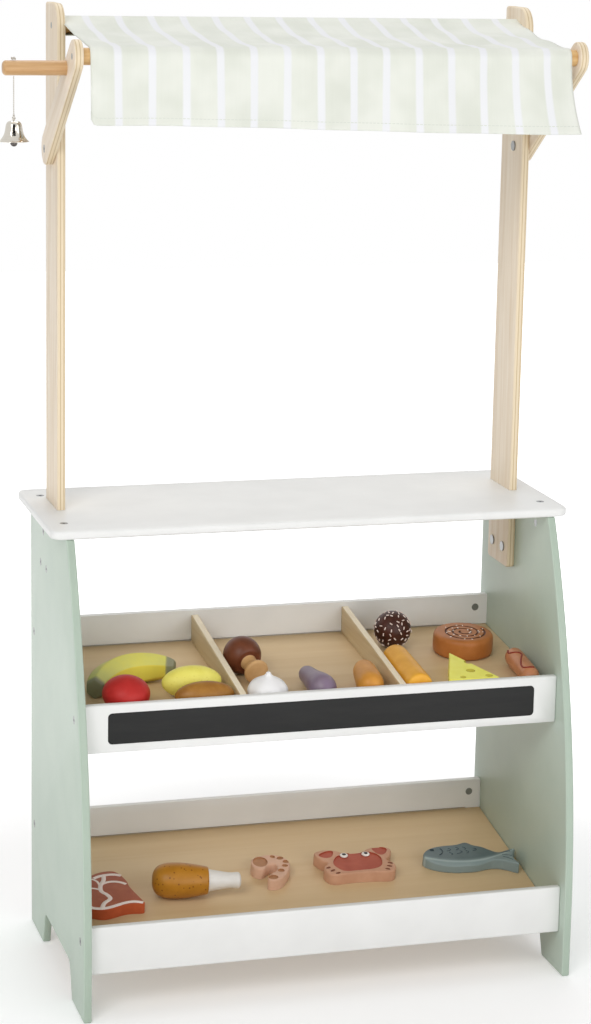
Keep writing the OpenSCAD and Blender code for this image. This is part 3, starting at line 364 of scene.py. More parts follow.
# %% lacquered wood
def lacquered_wood(name, pale, dark, grain, streak_mm=9.0, lean=0.0, ply_from=None, roughness=0.5):
    material, tree, shader = start_material(name, IOR=1.5)
    place = add(tree, "TexCoord")
    along, fibre = [1 / (streak_mm * MM)] * 3, [1 / (0.9 * MM)] * 3
    along["XYZ".index(grain)] /= 22
    fibre["XYZ".index(grain)] /= 40
    turned = add(tree, "Mapping", {"Vector": place.outputs["Object"], "Rotation": (lean, 0, 0)})
    wide = add(tree, "Mapping", {"Vector": turned, "Scale": along})
    fine = add(tree, "Mapping", {"Vector": turned, "Scale": fibre})
    streaks = add(tree, "TexNoise", {"Vector": wide, "Scale": 1.0, "Detail": 5.0, "Distortion": 0.6})
    pores = add(tree, "TexNoise", {"Vector": fine, "Scale": 1.0, "Detail": 2.0})
    amount = add(tree, "MapRange", {"Value": streaks, "From Min": 0.3, "From Max": 0.72})
    speck = add(tree, "MapRange", {"Value": pores, "From Min": 0.3, "From Max": 0.7,
                                   "To Min": -0.16, "To Max": 0.16})
    both = add(tree, "Math", {0: amount, 1: speck}, operation="ADD", use_clamp=True)
    colour = add(tree, "Mix", {0: both, 6: linear(pale), 7: linear(dark)}, data_type="RGBA")
    if ply_from is not None:
        # Pale veneers with a darker line of glue and end grain every 4 mm across the board
        parts = add(tree, "SeparateXYZ", {0: place.outputs["Object"]})
        layer = add(tree, "Math", {0: parts.outputs[0], 1: ply_from}, operation="SUBTRACT")
        bands = add(tree, "Math", {0: layer, 1: 2 * MM}, operation="PINGPONG")
        veneer = add(tree, "MapRange", {"Value": bands, "From Min": 0.3 * MM, "From Max": 0.8 * MM})
        plies = add(tree, "Mix", {0: veneer, 6: linear("#C9B28B"), 7: linear("#E6D5B7")}, data_type="RGBA")
        facing = add(tree, "SeparateXYZ", {0: place.outputs["Normal"]})
        side = add(tree, "Math", {0: facing.outputs[0]}, operation="ABSOLUTE")
        mask = add(tree, "MapRange", {"Value": side, "From Min": 0.75, "From Max": 0.55})
        colour = add(tree, "Mix", {0: mask, 6: colour, 7: plies}, data_type="RGBA")
    gloss = add(tree, "MapRange", {"Value": streaks, "To Min": roughness - 0.08, "To Max": roughness + 0.1})
    relief = add(tree, "Bump", {"Height": both, "Distance": 0.08 * MM, "Strength": 0.5})
    set_inputs(tree, shader, {"Base Color": colour, "Roughness": gloss, "Normal": relief})
    return material


print("helper", lacquered_wood.__name__)

# %% woods of the stall
ARM_RISE, ARM_RUN = 116, 165
arm_lean = math.atan2(ARM_RISE, ARM_RUN)
board_sides = (("left", stall_point(-290, 0, 0).x), ("right", stall_point(280, 0, 0).x))
post_wood = [lacquered_wood("lacquered_pale_plywood_post_" + side, "#F4E6D2", "#E5D1B5", "Z", ply_from=x)
             for side, x in board_sides]
arm_wood = [lacquered_wood("lacquered_pale_plywood_arm_" + side, "#F6E8D5", "#E9D6BC", "Y",
                           lean=arm_lean, ply_from=x) for side, x in board_sides]
tray_wood = lacquered_wood("lacquered_birch_plywood", "#DAC097", "#D3B78D", "X", streak_mm=22)
divider_wood = lacquered_wood("lacquered_birch_plywood_divider", "#D8C49E", "#C6AC80", "Y", streak_mm=12)
# A sanded edge of plywood is paler than its face
divider_edge_wood = lacquered_wood("lacquered_birch_plywood_sanded_edge", "#F6EAD2", "#EADABC", "Y",
                                   streak_mm=6)
beech = lacquered_wood("lacquered_beech", "#DDB981", "#C79A5E", "X", streak_mm=5)
oiled_beech = lacquered_wood("oiled_beech", "#D3AC7C", "#BC905E", "X", streak_mm=6, roughness=0.42)
print("woods", [m.name for m in bpy.data.materials if "lacquered" in m.name])

# %% [markdown]
# ## Eased edges
# Every board of a child's toy has its edges rounded with a router and sandpaper. A copy of the
# CAD node keeps the board's outline and its bolt holes. Its triangles are merged into flat
# faces, the long outer edges are selected, and the bevel operator rounds those alone.


# %% copies of boards
def copy_of(node):
    alone(frame["nodes"][node])
    bpy.ops.object.duplicate()
    piece = named(node + "_finished")
    del piece["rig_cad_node"]
    if piece.data.has_custom_normals:
        bpy.ops.mesh.customdata_custom_splitnormals_clear()
    edit(piece, "VERT", "SELECT")
    bpy.ops.mesh.remove_doubles(threshold=0.005 * MM)
    bpy.ops.mesh.dissolve_limited(angle_limit=math.radians(0.3))
    return leave(piece, 0)


print("nodes to copy", len(frame["nodes"]))


# %% edges to round
def is_sharp(edge):
    return len(edge.link_faces) == 2 and edge.calc_face_angle() > math.radians(35)


def outside_edges(mesh):
    """Sharp edges between faces that have the whole board behind them."""
    points = [v.co for v in mesh.verts]
    outside = {f for f in mesh.faces if all(f.normal.dot(p - f.verts[0].co) < 0.02 * MM for p in points)}
    return [e for e in mesh.edges if is_sharp(e) and all(f in outside for f in e.link_faces)]


def long_edges(mesh, least=25):
    """Sharp edges in loops that are wider than a bolt hole."""
    sharp, chosen = {e for e in mesh.edges if is_sharp(e)}, []
    while sharp:
        loop = [sharp.pop()]
        for edge in loop:
            near = [e for v in edge.verts for e in v.link_edges if e in sharp]
            sharp.difference_update(near)
            loop += [e for i, e in enumerate(near) if e not in near[:i]]
        points = [v.co for e in loop for v in e.verts]
        size = max(max(p[i] for p in points) - min(p[i] for p in points) for i in range(3))
        chosen += loop if size > least * MM else []
    return chosen


print("helpers", [helper.__name__ for helper in (is_sharp, outside_edges, long_edges)])


# %% rounded edges
def bevel(piece, choose, radius, steps, clamp=True):
    """Rounds the edges that are chosen from the mesh, and stays in edit mode."""
    mesh = edit(piece, "EDGE")
    for edge in choose(mesh):
        edge.select_set(True)
    bmesh.update_edit_mesh(piece.data)
    bpy.ops.mesh.bevel(offset=radius * MM, segments=steps, affect="EDGES", clamp_overlap=clamp)
    return piece


def ease(piece, choose, radius, steps=3):
    bevel(piece, choose, radius, steps)
    bpy.ops.mesh.select_all(action="SELECT")
    bpy.ops.mesh.remove_doubles(threshold=0.005 * MM)
    bpy.ops.mesh.vert_connect_concave()
    return leave(piece)


print("helpers", [helper.__name__ for helper in (bevel, ease)])

# %% boards with eased edges
boards = [
    ("side_panel_left", long_edges, 2.4, "mint_painted_wood", mint_paint),
    ("side_panel_right", long_edges, 2.4, "mint_painted_wood", mint_paint),
    ("countertop", outside_edges, 2.8, "white_painted_wood", white_paint),
    ("middle_front_rail", outside_edges, 2.6, "white_painted_wood", white_paint),
    ("middle_back_rail", outside_edges, 2.0, "white_painted_wood", white_paint),
    ("lower_front_rail", outside_edges, 2.6, "white_painted_wood", white_paint),
    ("lower_back_rail", outside_edges, 2.0, "white_painted_wood", white_paint),
    ("post_left", outside_edges, 1.8, "pine", post_wood[0]),
    ("post_right", outside_edges, 1.8, "pine", post_wood[1]),
    ("awning_arm_left", outside_edges, 1.8, "birch_plywood", arm_wood[0]),
    ("awning_arm_right", outside_edges, 1.8, "birch_plywood", arm_wood[1]),
    ("middle_shelf_board", outside_edges, 1.6, "birch_plywood", tray_wood),
    ("lower_shelf_board", outside_edges, 1.6, "birch_plywood", tray_wood),
    ("divider_left", outside_edges, 1.6, "birch_plywood", divider_wood),
    ("divider_right", outside_edges, 1.6, "birch_plywood", divider_wood),
]
MIDDLE_TRAY_Z, LOWER_TRAY_Z, BACK_RAIL = 362.5, 113.0, 27
shadow_gaps = {"middle_back_rail": MIDDLE_TRAY_Z, "lower_back_rail": LOWER_TRAY_Z}
GROOVE, GROOVE_LIFT = (540, 5, 1.6), 1.1
edge_finish = {mint_paint.name: mint_edge_paint, divider_wood.name: divider_edge_wood}
for node, choose, radius, slot, material in boards:
    piece = ease(copy_of(node), choose, radius)
    if node in shadow_gaps:
        # A narrow gap above the board shows as a dark line
        groove_middle = stall_point(0, -BACK_RAIL, shadow_gaps[node] + GROOVE_LIFT)
        groove = begin(bpy.ops.mesh.primitive_cube_add, "groove_cutter", size=1, location=groove_middle,
                       scale=Vector(GROOVE) * MM)
        use(piece, "BOOLEAN", object=groove, operation="DIFFERENCE", solver="EXACT")
        bpy.data.objects.remove(groove)
        edit(piece)
        leave(piece)
    hand_over(piece, "stall", slot, [material], node)
    if material.name in edge_finish:
        piece.data.materials.append(edge_finish[material.name])
        for face in piece.data.polygons:
            face.material_index = int(abs(face.normal.x) < 0.6)
    print(piece.name, len(piece.data.polygons), "faces")

# %% [markdown]
# ## Chalkboard
# The strip in the front rail is a matt black writing film on a thin board. Wiped chalk leaves a
# grey haze in long smears, so the film is a shade lighter in streaks that run along it.

# %% chalkboard film
SMEAR_MM = (90, 20, 14)
chalk_film, tree, shader = start_material("chalkboard_film", Roughness=0.78, IOR=1.45)
place = add(tree, "TexCoord").outputs["Object"]
smear = add(tree, "Mapping", {"Vector": place, "Scale": [1 / (d * MM) for d in SMEAR_MM]})
haze = add(tree, "TexNoise", {"Vector": smear, "Scale": 1.0, "Detail": 6.0, "Roughness": 0.65})
grit = add(tree, "TexNoise", {"Vector": place, "Scale": 1 / (1.2 * MM)})
dust = add(tree, "MapRange", {"Value": haze, "From Min": 0.4, "From Max": 0.8})
colour = add(tree, "Mix", {0: dust, 6: linear("#1B1B1B"), 7: linear("#232322")}, data_type="RGBA")
relief = add(tree, "Bump", {"Height": grit, "Distance": 0.06 * MM, "Strength": 0.5})
set_inputs(tree, shader, {"Base Color": colour, "Normal": relief})
chalkboard = ease(copy_of("chalkboard"), outside_edges, 0.4, 2)
hand_over(chalkboard, "stall", "chalkboard_film", [chalk_film], "chalkboard")
print("chalkboard", len(chalkboard.data.polygons), "faces")

# %% [markdown]
# ## Rods
# The two awning rods and the bell rod are turned dowels. Each is a long round bar, so a
# cylinder of its size is added and its end rims are rounded. The bell rod's free end has a
# wider rounding, and its tenon hides in the arm. The small dowels in the arms keep CAD form.


# %% turned rods
def rim_at(x):
    def near(edge):
        return all(abs(v.co.x - x) < 0.05 * MM for v in edge.verts)

    return lambda mesh: [e for e in mesh.edges if is_sharp(e) and near(e)]


def dowel(name, start, end, radius, rims):
    piece = begin(bpy.ops.mesh.primitive_cylinder_add, name, vertices=64, radius=radius * MM,
                  depth=(end - start).length, location=(start + end) / 2, rotation=(0, math.pi / 2, 0))
    for at, rounding in rims:
        leave(bevel(piece, rim_at(at.x), rounding, 5, clamp=False))
    return piece


FRONT_ROD, REAR_ROD, AWNING_ROD_R = (-258.0, 1100.0), (-85.0, 1125.0), 9.5
for node, (y, z), half in (("awning_front_rod", FRONT_ROD, 290), ("awning_rear_rod", REAR_ROD, 280)):
    ends = [stall_point(x, y, z) for x in (-half, half)]
    rod = dowel(node + "_turned", *ends, AWNING_ROD_R, [(e, 0.8) for e in ends])
    hand_over(rod, "stall", "beech", [beech], node)
rod_ends = [stall_point(x, BELL_Y, ROD_Z) for x in (-371, -300)]
bell_rod = dowel("bell_rod_turned", *rod_ends, ROD_R, [(rod_ends[0], 4.0)])
hand_over(bell_rod, "stall", "oiled_beech", [oiled_beech], "bell_rod")
refinish("arm_dowels", beech)
print("bell rod", len(bell_rod.data.polygons), "faces")

# %% [markdown]
# ## Fasteners
# The bolts, barrel nuts, sleeve nuts and screws are zinc-plated steel. Their CAD shapes are
# right, so they keep them and get the metal. Zinc plating is a soft grey metal with a faint
# bluish cloud, so roughness and colour drift over a few millimetres.


# %% zinc-plated steel
def bare_metal(name, code, drift, smooth, dull, run_mm):
    material, tree, shader = start_material(name, Metallic=1.0)
    place = add(tree, "TexCoord").outputs["Object"]
    wipes = add(tree, "Mapping", {"Vector": place, "Scale": [1 / (d * MM) for d in run_mm]})
    clouds = add(tree, "TexNoise", {"Vector": wipes, "Scale": 1.0, "Detail": 4.0})
    colour = add(tree, "Mix", {0: clouds, 6: linear(code), 7: linear(drift)}, data_type="RGBA")
    gloss = add(tree, "MapRange", {"Value": clouds, "To Min": smooth, "To Max": dull})
    set_inputs(tree, shader, {"Base Color": colour, "Roughness": gloss})
    return material


zinc = bare_metal("zinc_plated_steel", "#868788", "#A0A1A0", 0.28, 0.46, (4, 4, 4))
fasteners = ["counter_bolts", "counter_barrel_nuts", "post_bolts", "post_nuts", "arm_bolts", "arm_nuts",
             "rail_bolts", "rail_barrel_nuts", "rod_screws", "divider_screws"]
for node in fasteners:
    refinish(node, zinc)
print("fasteners", len(fasteners))

# %% [markdown]
# ## Awning cloth
# The awning is one length of pale cotton with narrow white stripes. It is sewn in a pocket
# round the rear rod, sags over to the front rod, and hangs down as a valance. The sheet starts
# as a flat grid, and each point is laid along the same line as in the CAD model. The valance
# waves a little and its right corner swings forward, as in the photograph. Its lower edge is
# turned up behind in a narrow hem.

# %% cloth line
WRAP, TAIL, LEAVING, HANG = AWNING_ROD_R + 1.2, 16, math.radians(120), 78
FOLD, HEM, CORNER = 0.8, 9, 7
SPAN_ROWS, HANG_ROWS, CLOTH_W = 44, 34, 563
rear, front = Vector(REAR_ROD), Vector(FRONT_ROD)


def bent(middle, start, end, count):
    angles = [start + (end - start) * i / count for i in range(count + 1)]
    return [middle + WRAP * Vector((math.cos(a), math.sin(a))) for a in angles]


tail = [rear + Vector((-TAIL * (1 - i / 5), -WRAP)) for i in range(5)]
pocket = tail + bent(rear, -math.pi / 2, LEAVING, 26)
rear_pull = pocket[-1] + 25 * Vector((-math.sin(LEAVING), math.cos(LEAVING)))
pulls = [pocket[-1], rear_pull, front + Vector((50, WRAP)), front + Vector((0, WRAP))]
top = []
for i in range(1, SPAN_ROWS + 1):
    t = i / SPAN_ROWS
    weights = ((1 - t) ** 3, 3 * t * (1 - t) ** 2, 3 * t * t * (1 - t), t ** 3)
    top.append(sum((w * p for w, p in zip(weights, pulls)), Vector((0, 0))))
roll_over = bent(front, math.pi / 2, math.pi, 10)[1:]
valance = [front + Vector((-WRAP, -HANG * i / HANG_ROWS)) for i in range(1, HANG_ROWS + 1)]
half_turn = [math.pi * i / 6 for i in range(1, 7)]
turn_up = [front + Vector((-WRAP + FOLD * (1 - math.cos(a)), -HANG - FOLD * math.sin(a))) for a in half_turn]
hem = [turn_up[-1] + Vector((0, HEM * i / 4)) for i in range(1, 5)]
cloth_line = pocket + top + roll_over + valance + turn_up + hem
run = [0.0]
for a, b in zip(cloth_line, cloth_line[1:]):
    run.append(run[-1] + (b - a).length)
print("cloth", CLOTH_W, "by", round(run[-1], 1), "mm")

# %% cloth laid over its rods
SLACK, WAVE, FORWARD, ASIDE, HEM_TILT = 5.0, 3, 9, 11, 12  # how far the cloth leaves its line, in millimetres


def cloth_point(i, u):
    """A place on the cloth, from its row and its share of the width."""
    y, z = cloth_line[i]
    x = (u - 0.5) * CLOTH_W
    first_top, last_top = len(pocket), len(pocket) + SPAN_ROWS
    hang = min(1.0, (front.y - z) / HANG) if i >= last_top + len(roll_over) else 0.0
    if first_top <= i < last_top:
        # The span has slack folds, and its left edge is pulled nearly straight
        slack = math.sin(math.pi * (i - first_top + 1) / (SPAN_ROWS + 1))
        z += slack * SLACK * noise.noise((x / 62 + 0.4 * y / 40, y / 75, 3.1))
        rear_end, front_end = cloth_line[first_top - 1], cloth_line[last_top - 1]
        taut = rear_end.y + (front_end.y - rear_end.y) * (y - rear_end.x) / (front_end.x - rear_end.x)
        z += 0.6 * max(0.0, 1 - u * CLOTH_W / 45) ** 2 * (taut - z)
    # The valance waves, its right corner swings out and its left corner is rounded
    swing = hang * hang * u ** 6
    y -= hang * WAVE * (1 + math.sin(math.tau * 4.5 * u + 0.7)) + FORWARD * swing
    y -= hang * (1.4 + 1.8 * noise.noise((x / 55, z / 60, 7.7)))
    corner = CORNER - math.sqrt(CORNER ** 2 - max(0.0, CORNER - u * CLOTH_W) ** 2)
    z += hang * (corner + 5 - HEM_TILT * u * u * (3 - 2 * u))
    return stall_point(x + ASIDE * swing, y, z)


COLUMNS, ROWS = 180, len(cloth_line) - 1
cloth = begin(bpy.ops.mesh.primitive_grid_add, "awning_cloth_draped", x_subdivisions=COLUMNS,
              y_subdivisions=ROWS, size=2)
mesh = edit(cloth)
uv = mesh.loops.layers.uv.verify()
flat = {v: ((v.co.x + 1) / 2, round((1 - v.co.y) / 2 * ROWS)) for v in mesh.verts}
for face in mesh.faces:
    for corner in face.loops:
        u, i = flat[corner.vert]
        corner[uv].uv = (u * CLOTH_W * MM, run[i] * MM)
for v, (u, i) in flat.items():
    v.co = cloth_point(i, u)
bpy.ops.mesh.select_all(action="SELECT")
bpy.ops.mesh.normals_make_consistent(inside=False)
leave(cloth, 80)
print("cloth faces", len(cloth.data.polygons))

# %% [markdown]
# ## Striped cotton
# The cloth is plain-woven cotton, dyed a very pale green with narrow white stripes 38.6 mm
# apart. Threads cross over and under, so the weave is two crossed waves. They are drawn 1.6 mm
# wide, about four times the real thread, so that they show. One row of stitches holds the hem.

# %% striped cotton
STRIPE_STEP, STRIPE_W, STRIPE_EDGE, THREAD_STEP = 38.6, 8.6, 2, 1.6
STITCH_STEP, STITCH_L, SEAM_UP = 4.5, 3.2, 1.5
cotton, tree, shader = start_material("striped_plain_weave_cotton", Roughness=0.9, Sheen_Weight=0.25,
                                      Sheen_Roughness=0.5)
place = add(tree, "TexCoord").outputs["UV"]
parts = add(tree, "SeparateXYZ", {0: place})
offset = add(tree, "Math", {0: parts.outputs[0], 1: (CLOTH_W / 2) * MM}, operation="SUBTRACT")
stripe = add(tree, "Math", {0: offset, 1: STRIPE_STEP / 2 * MM}, operation="PINGPONG")
edges = [(STRIPE_STEP - STRIPE_W + side * STRIPE_EDGE) / 2 * MM for side in (-1, 1)]
in_stripe = add(tree, "MapRange", {"Value": stripe, "From Min": edges[0], "From Max": edges[1]})
pitch = math.tau / (THREAD_STEP * MM)
threads = [add(tree, "Math", {0: parts.outputs[i], 1: pitch}, operation="MULTIPLY") for i in (0, 1)]
waves = [add(tree, "Math", {0: t}, operation="SINE") for t in threads]
weave = add(tree, "Math", {0: waves[0], 1: waves[1]}, operation="MULTIPLY")
slub_run = add(tree, "Mapping", {"Vector": place, "Scale": (1 / (3 * MM), 1 / (60 * MM), 1)})
slubs = add(tree, "TexNoise", {"Vector": slub_run, "Scale": 1.0, "Detail": 3.0})
dye = add(tree, "TexNoise", {"Vector": place, "Scale": 1 / (60 * MM), "Detail": 2.0})
uneven = add(tree, "Math", {0: slubs, 1: 0.12, 2: dye}, operation="MULTIPLY_ADD")
tint = add(tree, "MapRange", {"Value": uneven, "From Min": 0.42, "From Max": 0.7})
ground = add(tree, "Mix", {0: tint, 6: linear("#DDE0D5"), 7: linear("#E8EAE1")}, data_type="RGBA")
striped = add(tree, "Mix", {0: in_stripe, 6: ground, 7: linear("#EBECEE")}, data_type="RGBA")
stitch_run = add(tree, "Math", {0: parts.outputs[0], 1: STITCH_STEP * MM}, operation="FLOORED_MODULO")
stitch_on = add(tree, "Math", {0: stitch_run, 1: STITCH_L * MM}, operation="LESS_THAN")
seam_at = run[-1] - 2 * HEM - math.pi * FOLD + SEAM_UP
seam = add(tree, "Math", {0: parts.outputs[1], 1: seam_at * MM, 2: 0.4 * MM}, operation="COMPARE")
stitches = add(tree, "Math", {0: seam, 1: stitch_on}, operation="MULTIPLY")
colour = add(tree, "Mix", {0: stitches, 6: striped, 7: linear("#D7DBD1")}, data_type="RGBA")
cloth_height = add(tree, "Math", {0: stitches, 1: -2.0, 2: weave}, operation="MULTIPLY_ADD")
relief = add(tree, "Bump", {"Height": cloth_height, "Distance": 0.12 * MM, "Strength": 0.5})
set_inputs(tree, shader, {"Base Color": colour, "Normal": relief})
use(cloth, "SOLIDIFY", thickness=0.9 * MM, offset=0.0)
hand_over(cloth, "stall", "striped_cotton", [cotton], "awning_cloth")
print("stripes", int(CLOTH_W / STRIPE_STEP))

# %% [markdown]
# ## Turned forms
# A lathe turns a half profile round an axis, and so does Blender's spin. A small plane is
# merged to one point, the point is extruded along the profile, and the line is spun a full
# turn. Merging the doubles closes the seam and the poles, and one subdivision smooths the form.


# %% lathe
def lathe(name, profile, steps=32, level=1):
    """A form turned round Z from (height, radius) pairs in millimetres."""
    points = [Vector((r, 0, z)) * MM for z, r in profile]
    piece = begin(bpy.ops.mesh.primitive_plane_add, name, size=MM, location=points[0])
    edit(piece, "VERT", "SELECT")
    bpy.ops.mesh.merge(type="CENTER")
    for a, b in zip(points, points[1:]):
        bpy.ops.mesh.extrude_vertices_move(TRANSFORM_OT_translate={"value": b - a})
    bpy.ops.mesh.select_all(action="SELECT")
    bpy.ops.mesh.spin(steps=steps, angle=math.tau, center=(0, 0, 0), axis=(0, 0, 1))
    bpy.ops.mesh.select_all(action="SELECT")
    bpy.ops.mesh.remove_doubles(threshold=0.002 * MM)
    bpy.ops.mesh.normals_make_consistent(inside=False)
    leave(piece, 60)
    if level:
        use(piece, "SUBSURF", levels=level, render_levels=level)
    return piece


def put(piece, place):
    piece.matrix_world = place
    alone(piece)
    bpy.ops.object.transform_apply()
    return piece


def half_round(radius, steps, press=1.0):
    """The profile of a ball, pressed along its axis."""
    angles = [math.pi * i / steps for i in range(steps + 1)]
    return [(-radius * math.cos(a) * press, radius * math.sin(a)) for a in angles]


print("ball profile", len(half_round(1, 16)), "points")

# %% [markdown]
# ## Bell
# The bell is a small cast shell, turned thin and polished, with a ring on its crown and a
# clapper inside. Its profile goes down the outside, round the rolled lip and up the inside, so
# one spin makes a wall with a real thickness. Polished nickel reflects almost like a mirror.

# %% polished bell
bell_metal = bare_metal("polished_nickel", "#C9C3B8", "#D9D4CA", 0.06, 0.18, (6, 6, 1.2))
RING_Z = EYE_Z - EYE_R
CROWN_Z, BELL_R, BELL_H, WALL = RING_Z - 1.1, 17.0, 23.0, 1.2
outline = [(0.00, 0.00), (0.22, 0.00), (0.36, 0.03), (0.46, 0.09), (0.515, 0.18), (0.55, 0.32), (0.58, 0.48),
           (0.63, 0.62), (0.71, 0.75), (0.82, 0.87), (0.93, 0.95)]
outer = [(-d * BELL_H, r * BELL_R) for r, d in outline]
lip = [(-0.975 * BELL_H, BELL_R - 0.2), (-BELL_H, BELL_R), (-BELL_H, BELL_R - 1.0)]
inner = [(z - 0.4 * WALL, r - WALL) for z, r in outer[2:]]
crown = [(-WALL, 0.25 * BELL_R), (-WALL, 0.0)]
shell = lathe("bell_shell_turned", outer + lip + inner[::-1] + crown, 40)
put(shell, Matrix.Translation(stall_point(BELL_X, BELL_Y, CROWN_Z)))
hand_over(shell, "bell", "bell_metal", [bell_metal], "bell_shell")
ring = begin(bpy.ops.mesh.primitive_torus_add, "bell_ring", location=stall_point(BELL_X, BELL_Y, RING_Z),
             rotation=(0, math.pi / 2, 0), **ring_size)
edit(ring, "VERT", "SELECT")
bpy.ops.mesh.bisect(plane_co=stall_point(BELL_X, BELL_Y, CROWN_Z - 0.4), plane_no=(0, 0, 1), clear_inner=True,
                    use_fill=True)
leave(ring, 60)
hand_over(ring, "bell", "bell_metal", [bell_metal])
print("bell", len(shell.data.polygons), "faces")

# %% clapper
clapper_metal = bare_metal("darkened_steel", "#4A4644", "#5E5A57", 0.24, 0.4, (3, 3, 3))
refinish("clapper_pin", clapper_metal)
clapper = copy_of("bell_clapper")
mesh = edit(clapper, "FACE")
# A stray face of the copied triangles has an open edge and is taken away
for face in mesh.faces:
    face.select_set(any(len(edge.link_faces) == 1 for edge in face.edges))
bpy.ops.mesh.delete(type="FACE")
leave(clapper, 30)
hand_over(clapper, "clapper", "bell_metal", [clapper_metal], "bell_clapper")
print("clapper", len(clapper.data.polygons), "faces")

# %% [markdown]
# ## Trays
# The play food lies on the two sloping boards. A place on a tray is a distance across the stall
# and a share of the tray's depth, and one matrix turns it into a place in the frame, tilted with
# the board. Round food that lies down has its turning axis along the board.

# %% places on the trays
TRAYS = {"middle": (MIDDLE_TRAY_Z, math.atan2(21.7, 241.62), 241.62),
         "lower": (LOWER_TRAY_Z, math.atan2(43.7, 280.6), 280.6)}
REST = 0.3
slot_of = {part["node"]: part["material_slot"] for part in frame["record"]["subparts"]}


def on_tray(tray, x, share, turn=0):
    height, slope, depth = TRAYS[tray]
    board = stall_point(x, -BACK_RAIL - share * depth, height - math.tan(slope) * share * depth)
    return (Matrix.Translation(board) @ Matrix.Rotation(slope, 4, "X") @ Matrix.Translation((0, 0, REST * MM))
            @ Matrix.Rotation(math.radians(turn), 4, "Z"))


def lying(start, radius, tip=0):
    return (Matrix.Translation((0, 0, radius * MM)) @ Matrix.Rotation(math.radians(90 + tip), 4, "Y")
            @ Matrix.Translation((0, 0, start * MM)))


def paint(piece, *materials, second=None):
    """Paints a piece, with the second paint on the faces that the test picks."""
    piece.data.materials.clear()
    for material in materials:
        piece.data.materials.append(material)
    if second:
        for face in piece.data.polygons:
            face.material_index = int(second(face.center / MM, face.normal))
    return piece


def serve(piece, node, spot, stands_for=True):
    put(piece, spot)
    hand_over(piece, node + "_piece", slot_of[node], [], *([node] if stands_for else []))
    if stands_for:
        points = [v.co for v in piece.data.vertices]
        own = [Vector([pick(p[i] for p in points) for i in range(3)]) for pick in (min, max)]
        off = max(abs(a - b) for mine, cad in zip(own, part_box(node)) for a, b in zip(mine, cad))
        print(node, len(points), "points, box within", round(off / MM, 1), "mm of its solid")
    return piece


print("slopes", [round(math.degrees(t[1]), 2) for t in TRAYS.values()])

# %% [markdown]
# ## Painted play food
# The food is turned or sawn from beech and dipped in water-based paint. The paint is thin, so
# the colour clouds a little and the wood's fibres lift it in fine lines. Crumbs, seeds and
# specks come from a cell pattern whose spacing is the real one.


# %% food paint
def food_paint(name, code, drift, roughness=0.4, cloud_mm=16.0, speck=None, speck_mm=6.0, faded_and_highlight=None):
    material, tree, shader = start_material(name, IOR=1.38)
    place = add(tree, "TexCoord").outputs["Object"]
    clouds = add(tree, "TexNoise", {"Vector": place, "Scale": 1 / (cloud_mm * MM), "Detail": 4.0})
    lines = add(tree, "Mapping", {"Vector": place, "Scale": [1 / (d * MM) for d in (18, 1.4, 1.4)]})
    fibre = add(tree, "TexNoise", {"Vector": lines, "Scale": 1.0, "Detail": 2.0})
    amount = add(tree, "MapRange", {"Value": clouds, "From Min": 0.32, "From Max": 0.68})
    colour = add(tree, "Mix", {0: amount, 6: linear(code), 7: linear(drift)}, data_type="RGBA")
    if speck:
        cells = add(tree, "TexVoronoi", {"Vector": place, "Scale": 1 / (speck_mm * MM)})
        dots = add(tree, "MapRange", {"Value": cells.outputs["Distance"], "From Min": 0.28, "From Max": 0.18})
        some = add(tree, "SeparateColor", {0: cells.outputs["Color"]})
        kept = add(tree, "Math", {0: some.outputs[0], 1: 0.45}, operation="GREATER_THAN")
        seen = add(tree, "Math", {0: dots, 1: kept}, operation="MULTIPLY")
        colour = add(tree, "Mix", {0: seen, 6: colour, 7: linear(speck)}, data_type="RGBA")
    if faded_and_highlight:
        # A second colour by the points' notes, for dipped ends, a faded belly, and the fish's painted
        # highlight
        share = add(tree, "Attribute", attribute_name="fade_and_highlight").outputs["Fac"]
        colour = add(tree, "Mix", {0: share, 6: colour, 7: linear(faded_and_highlight)}, data_type="RGBA")
    gloss = add(tree, "MapRange", {"Value": fibre, "To Min": roughness - 0.08, "To Max": roughness + 0.08})
    relief = add(tree, "Bump", {"Height": fibre, "Distance": 0.08 * MM, "Strength": 0.4})
    set_inputs(tree, shader, {"Base Color": colour, "Roughness": gloss, "Normal": relief})
    return material


def fade_and_highlight(piece, amount):
    """Notes at each point how far its paint turns to a second colour, from a place in millimetres: dipped
    ends, a faded belly, and a painted highlight.
    """
    shares = piece.data.attributes.new("fade_and_highlight", "FLOAT", "POINT")
    for v in piece.data.vertices:
        shares.data[v.index].value = amount(v.co / MM)
    return piece


print("helpers", [helper.__name__ for helper in (food_paint, fade_and_highlight)])

# %% [markdown]
# ## Turned fruit and vegetables
# The tomato, lemon, bread roll, garlic, aubergine and both carrot pieces are plain lathe work.
# Each profile is a list of shares of the length and the radius, as the turner's template would
# be. The garlic's cloves are pressed in afterwards as shallow furrows.


# %% tomato, lemon and roll
def sized(shares, length, radius):
    return [(along * length, out * radius) for along, out in shares]


def turned(node, shares, length, radius, finish, spot):
    return serve(paint(lathe(node + "_turned", sized(shares, length, radius)), finish), node, spot)


dome_angles = [math.pi * (i / 16 - 0.5) for i in range(17)]
dome = [(0.5 + 0.5 * math.sin(a), math.cos(a) ** (1.1 if a > 0 else 0.9)) for a in dome_angles]
tomato_paint = food_paint("tomato_red_paint", "#BE2A26", "#B0231F", 0.5)
turned("tomato", dome, 43, 28.5, tomato_paint, on_tray("middle", -231.5, 0.872))
lemon_shares = [(0, 0), (0, 0.16), (0.02, 0.30), (0.06, 0.48), (0.15, 0.73), (0.28, 0.92), (0.42, 1.0),
                (0.58, 1.0), (0.72, 0.92), (0.85, 0.73), (0.94, 0.48), (0.98, 0.30), (1.0, 0.16), (1.0, 0)]
lemon_paint = food_paint("lemon_yellow_paint", "#F7EE78", "#F0E566", 0.45, speck="#E9DE60", speck_mm=3.0)
turned("lemon", lemon_shares, 72, 19.5, lemon_paint, on_tray("middle", -146.5, 0.757) @ lying(-36, 19.5))
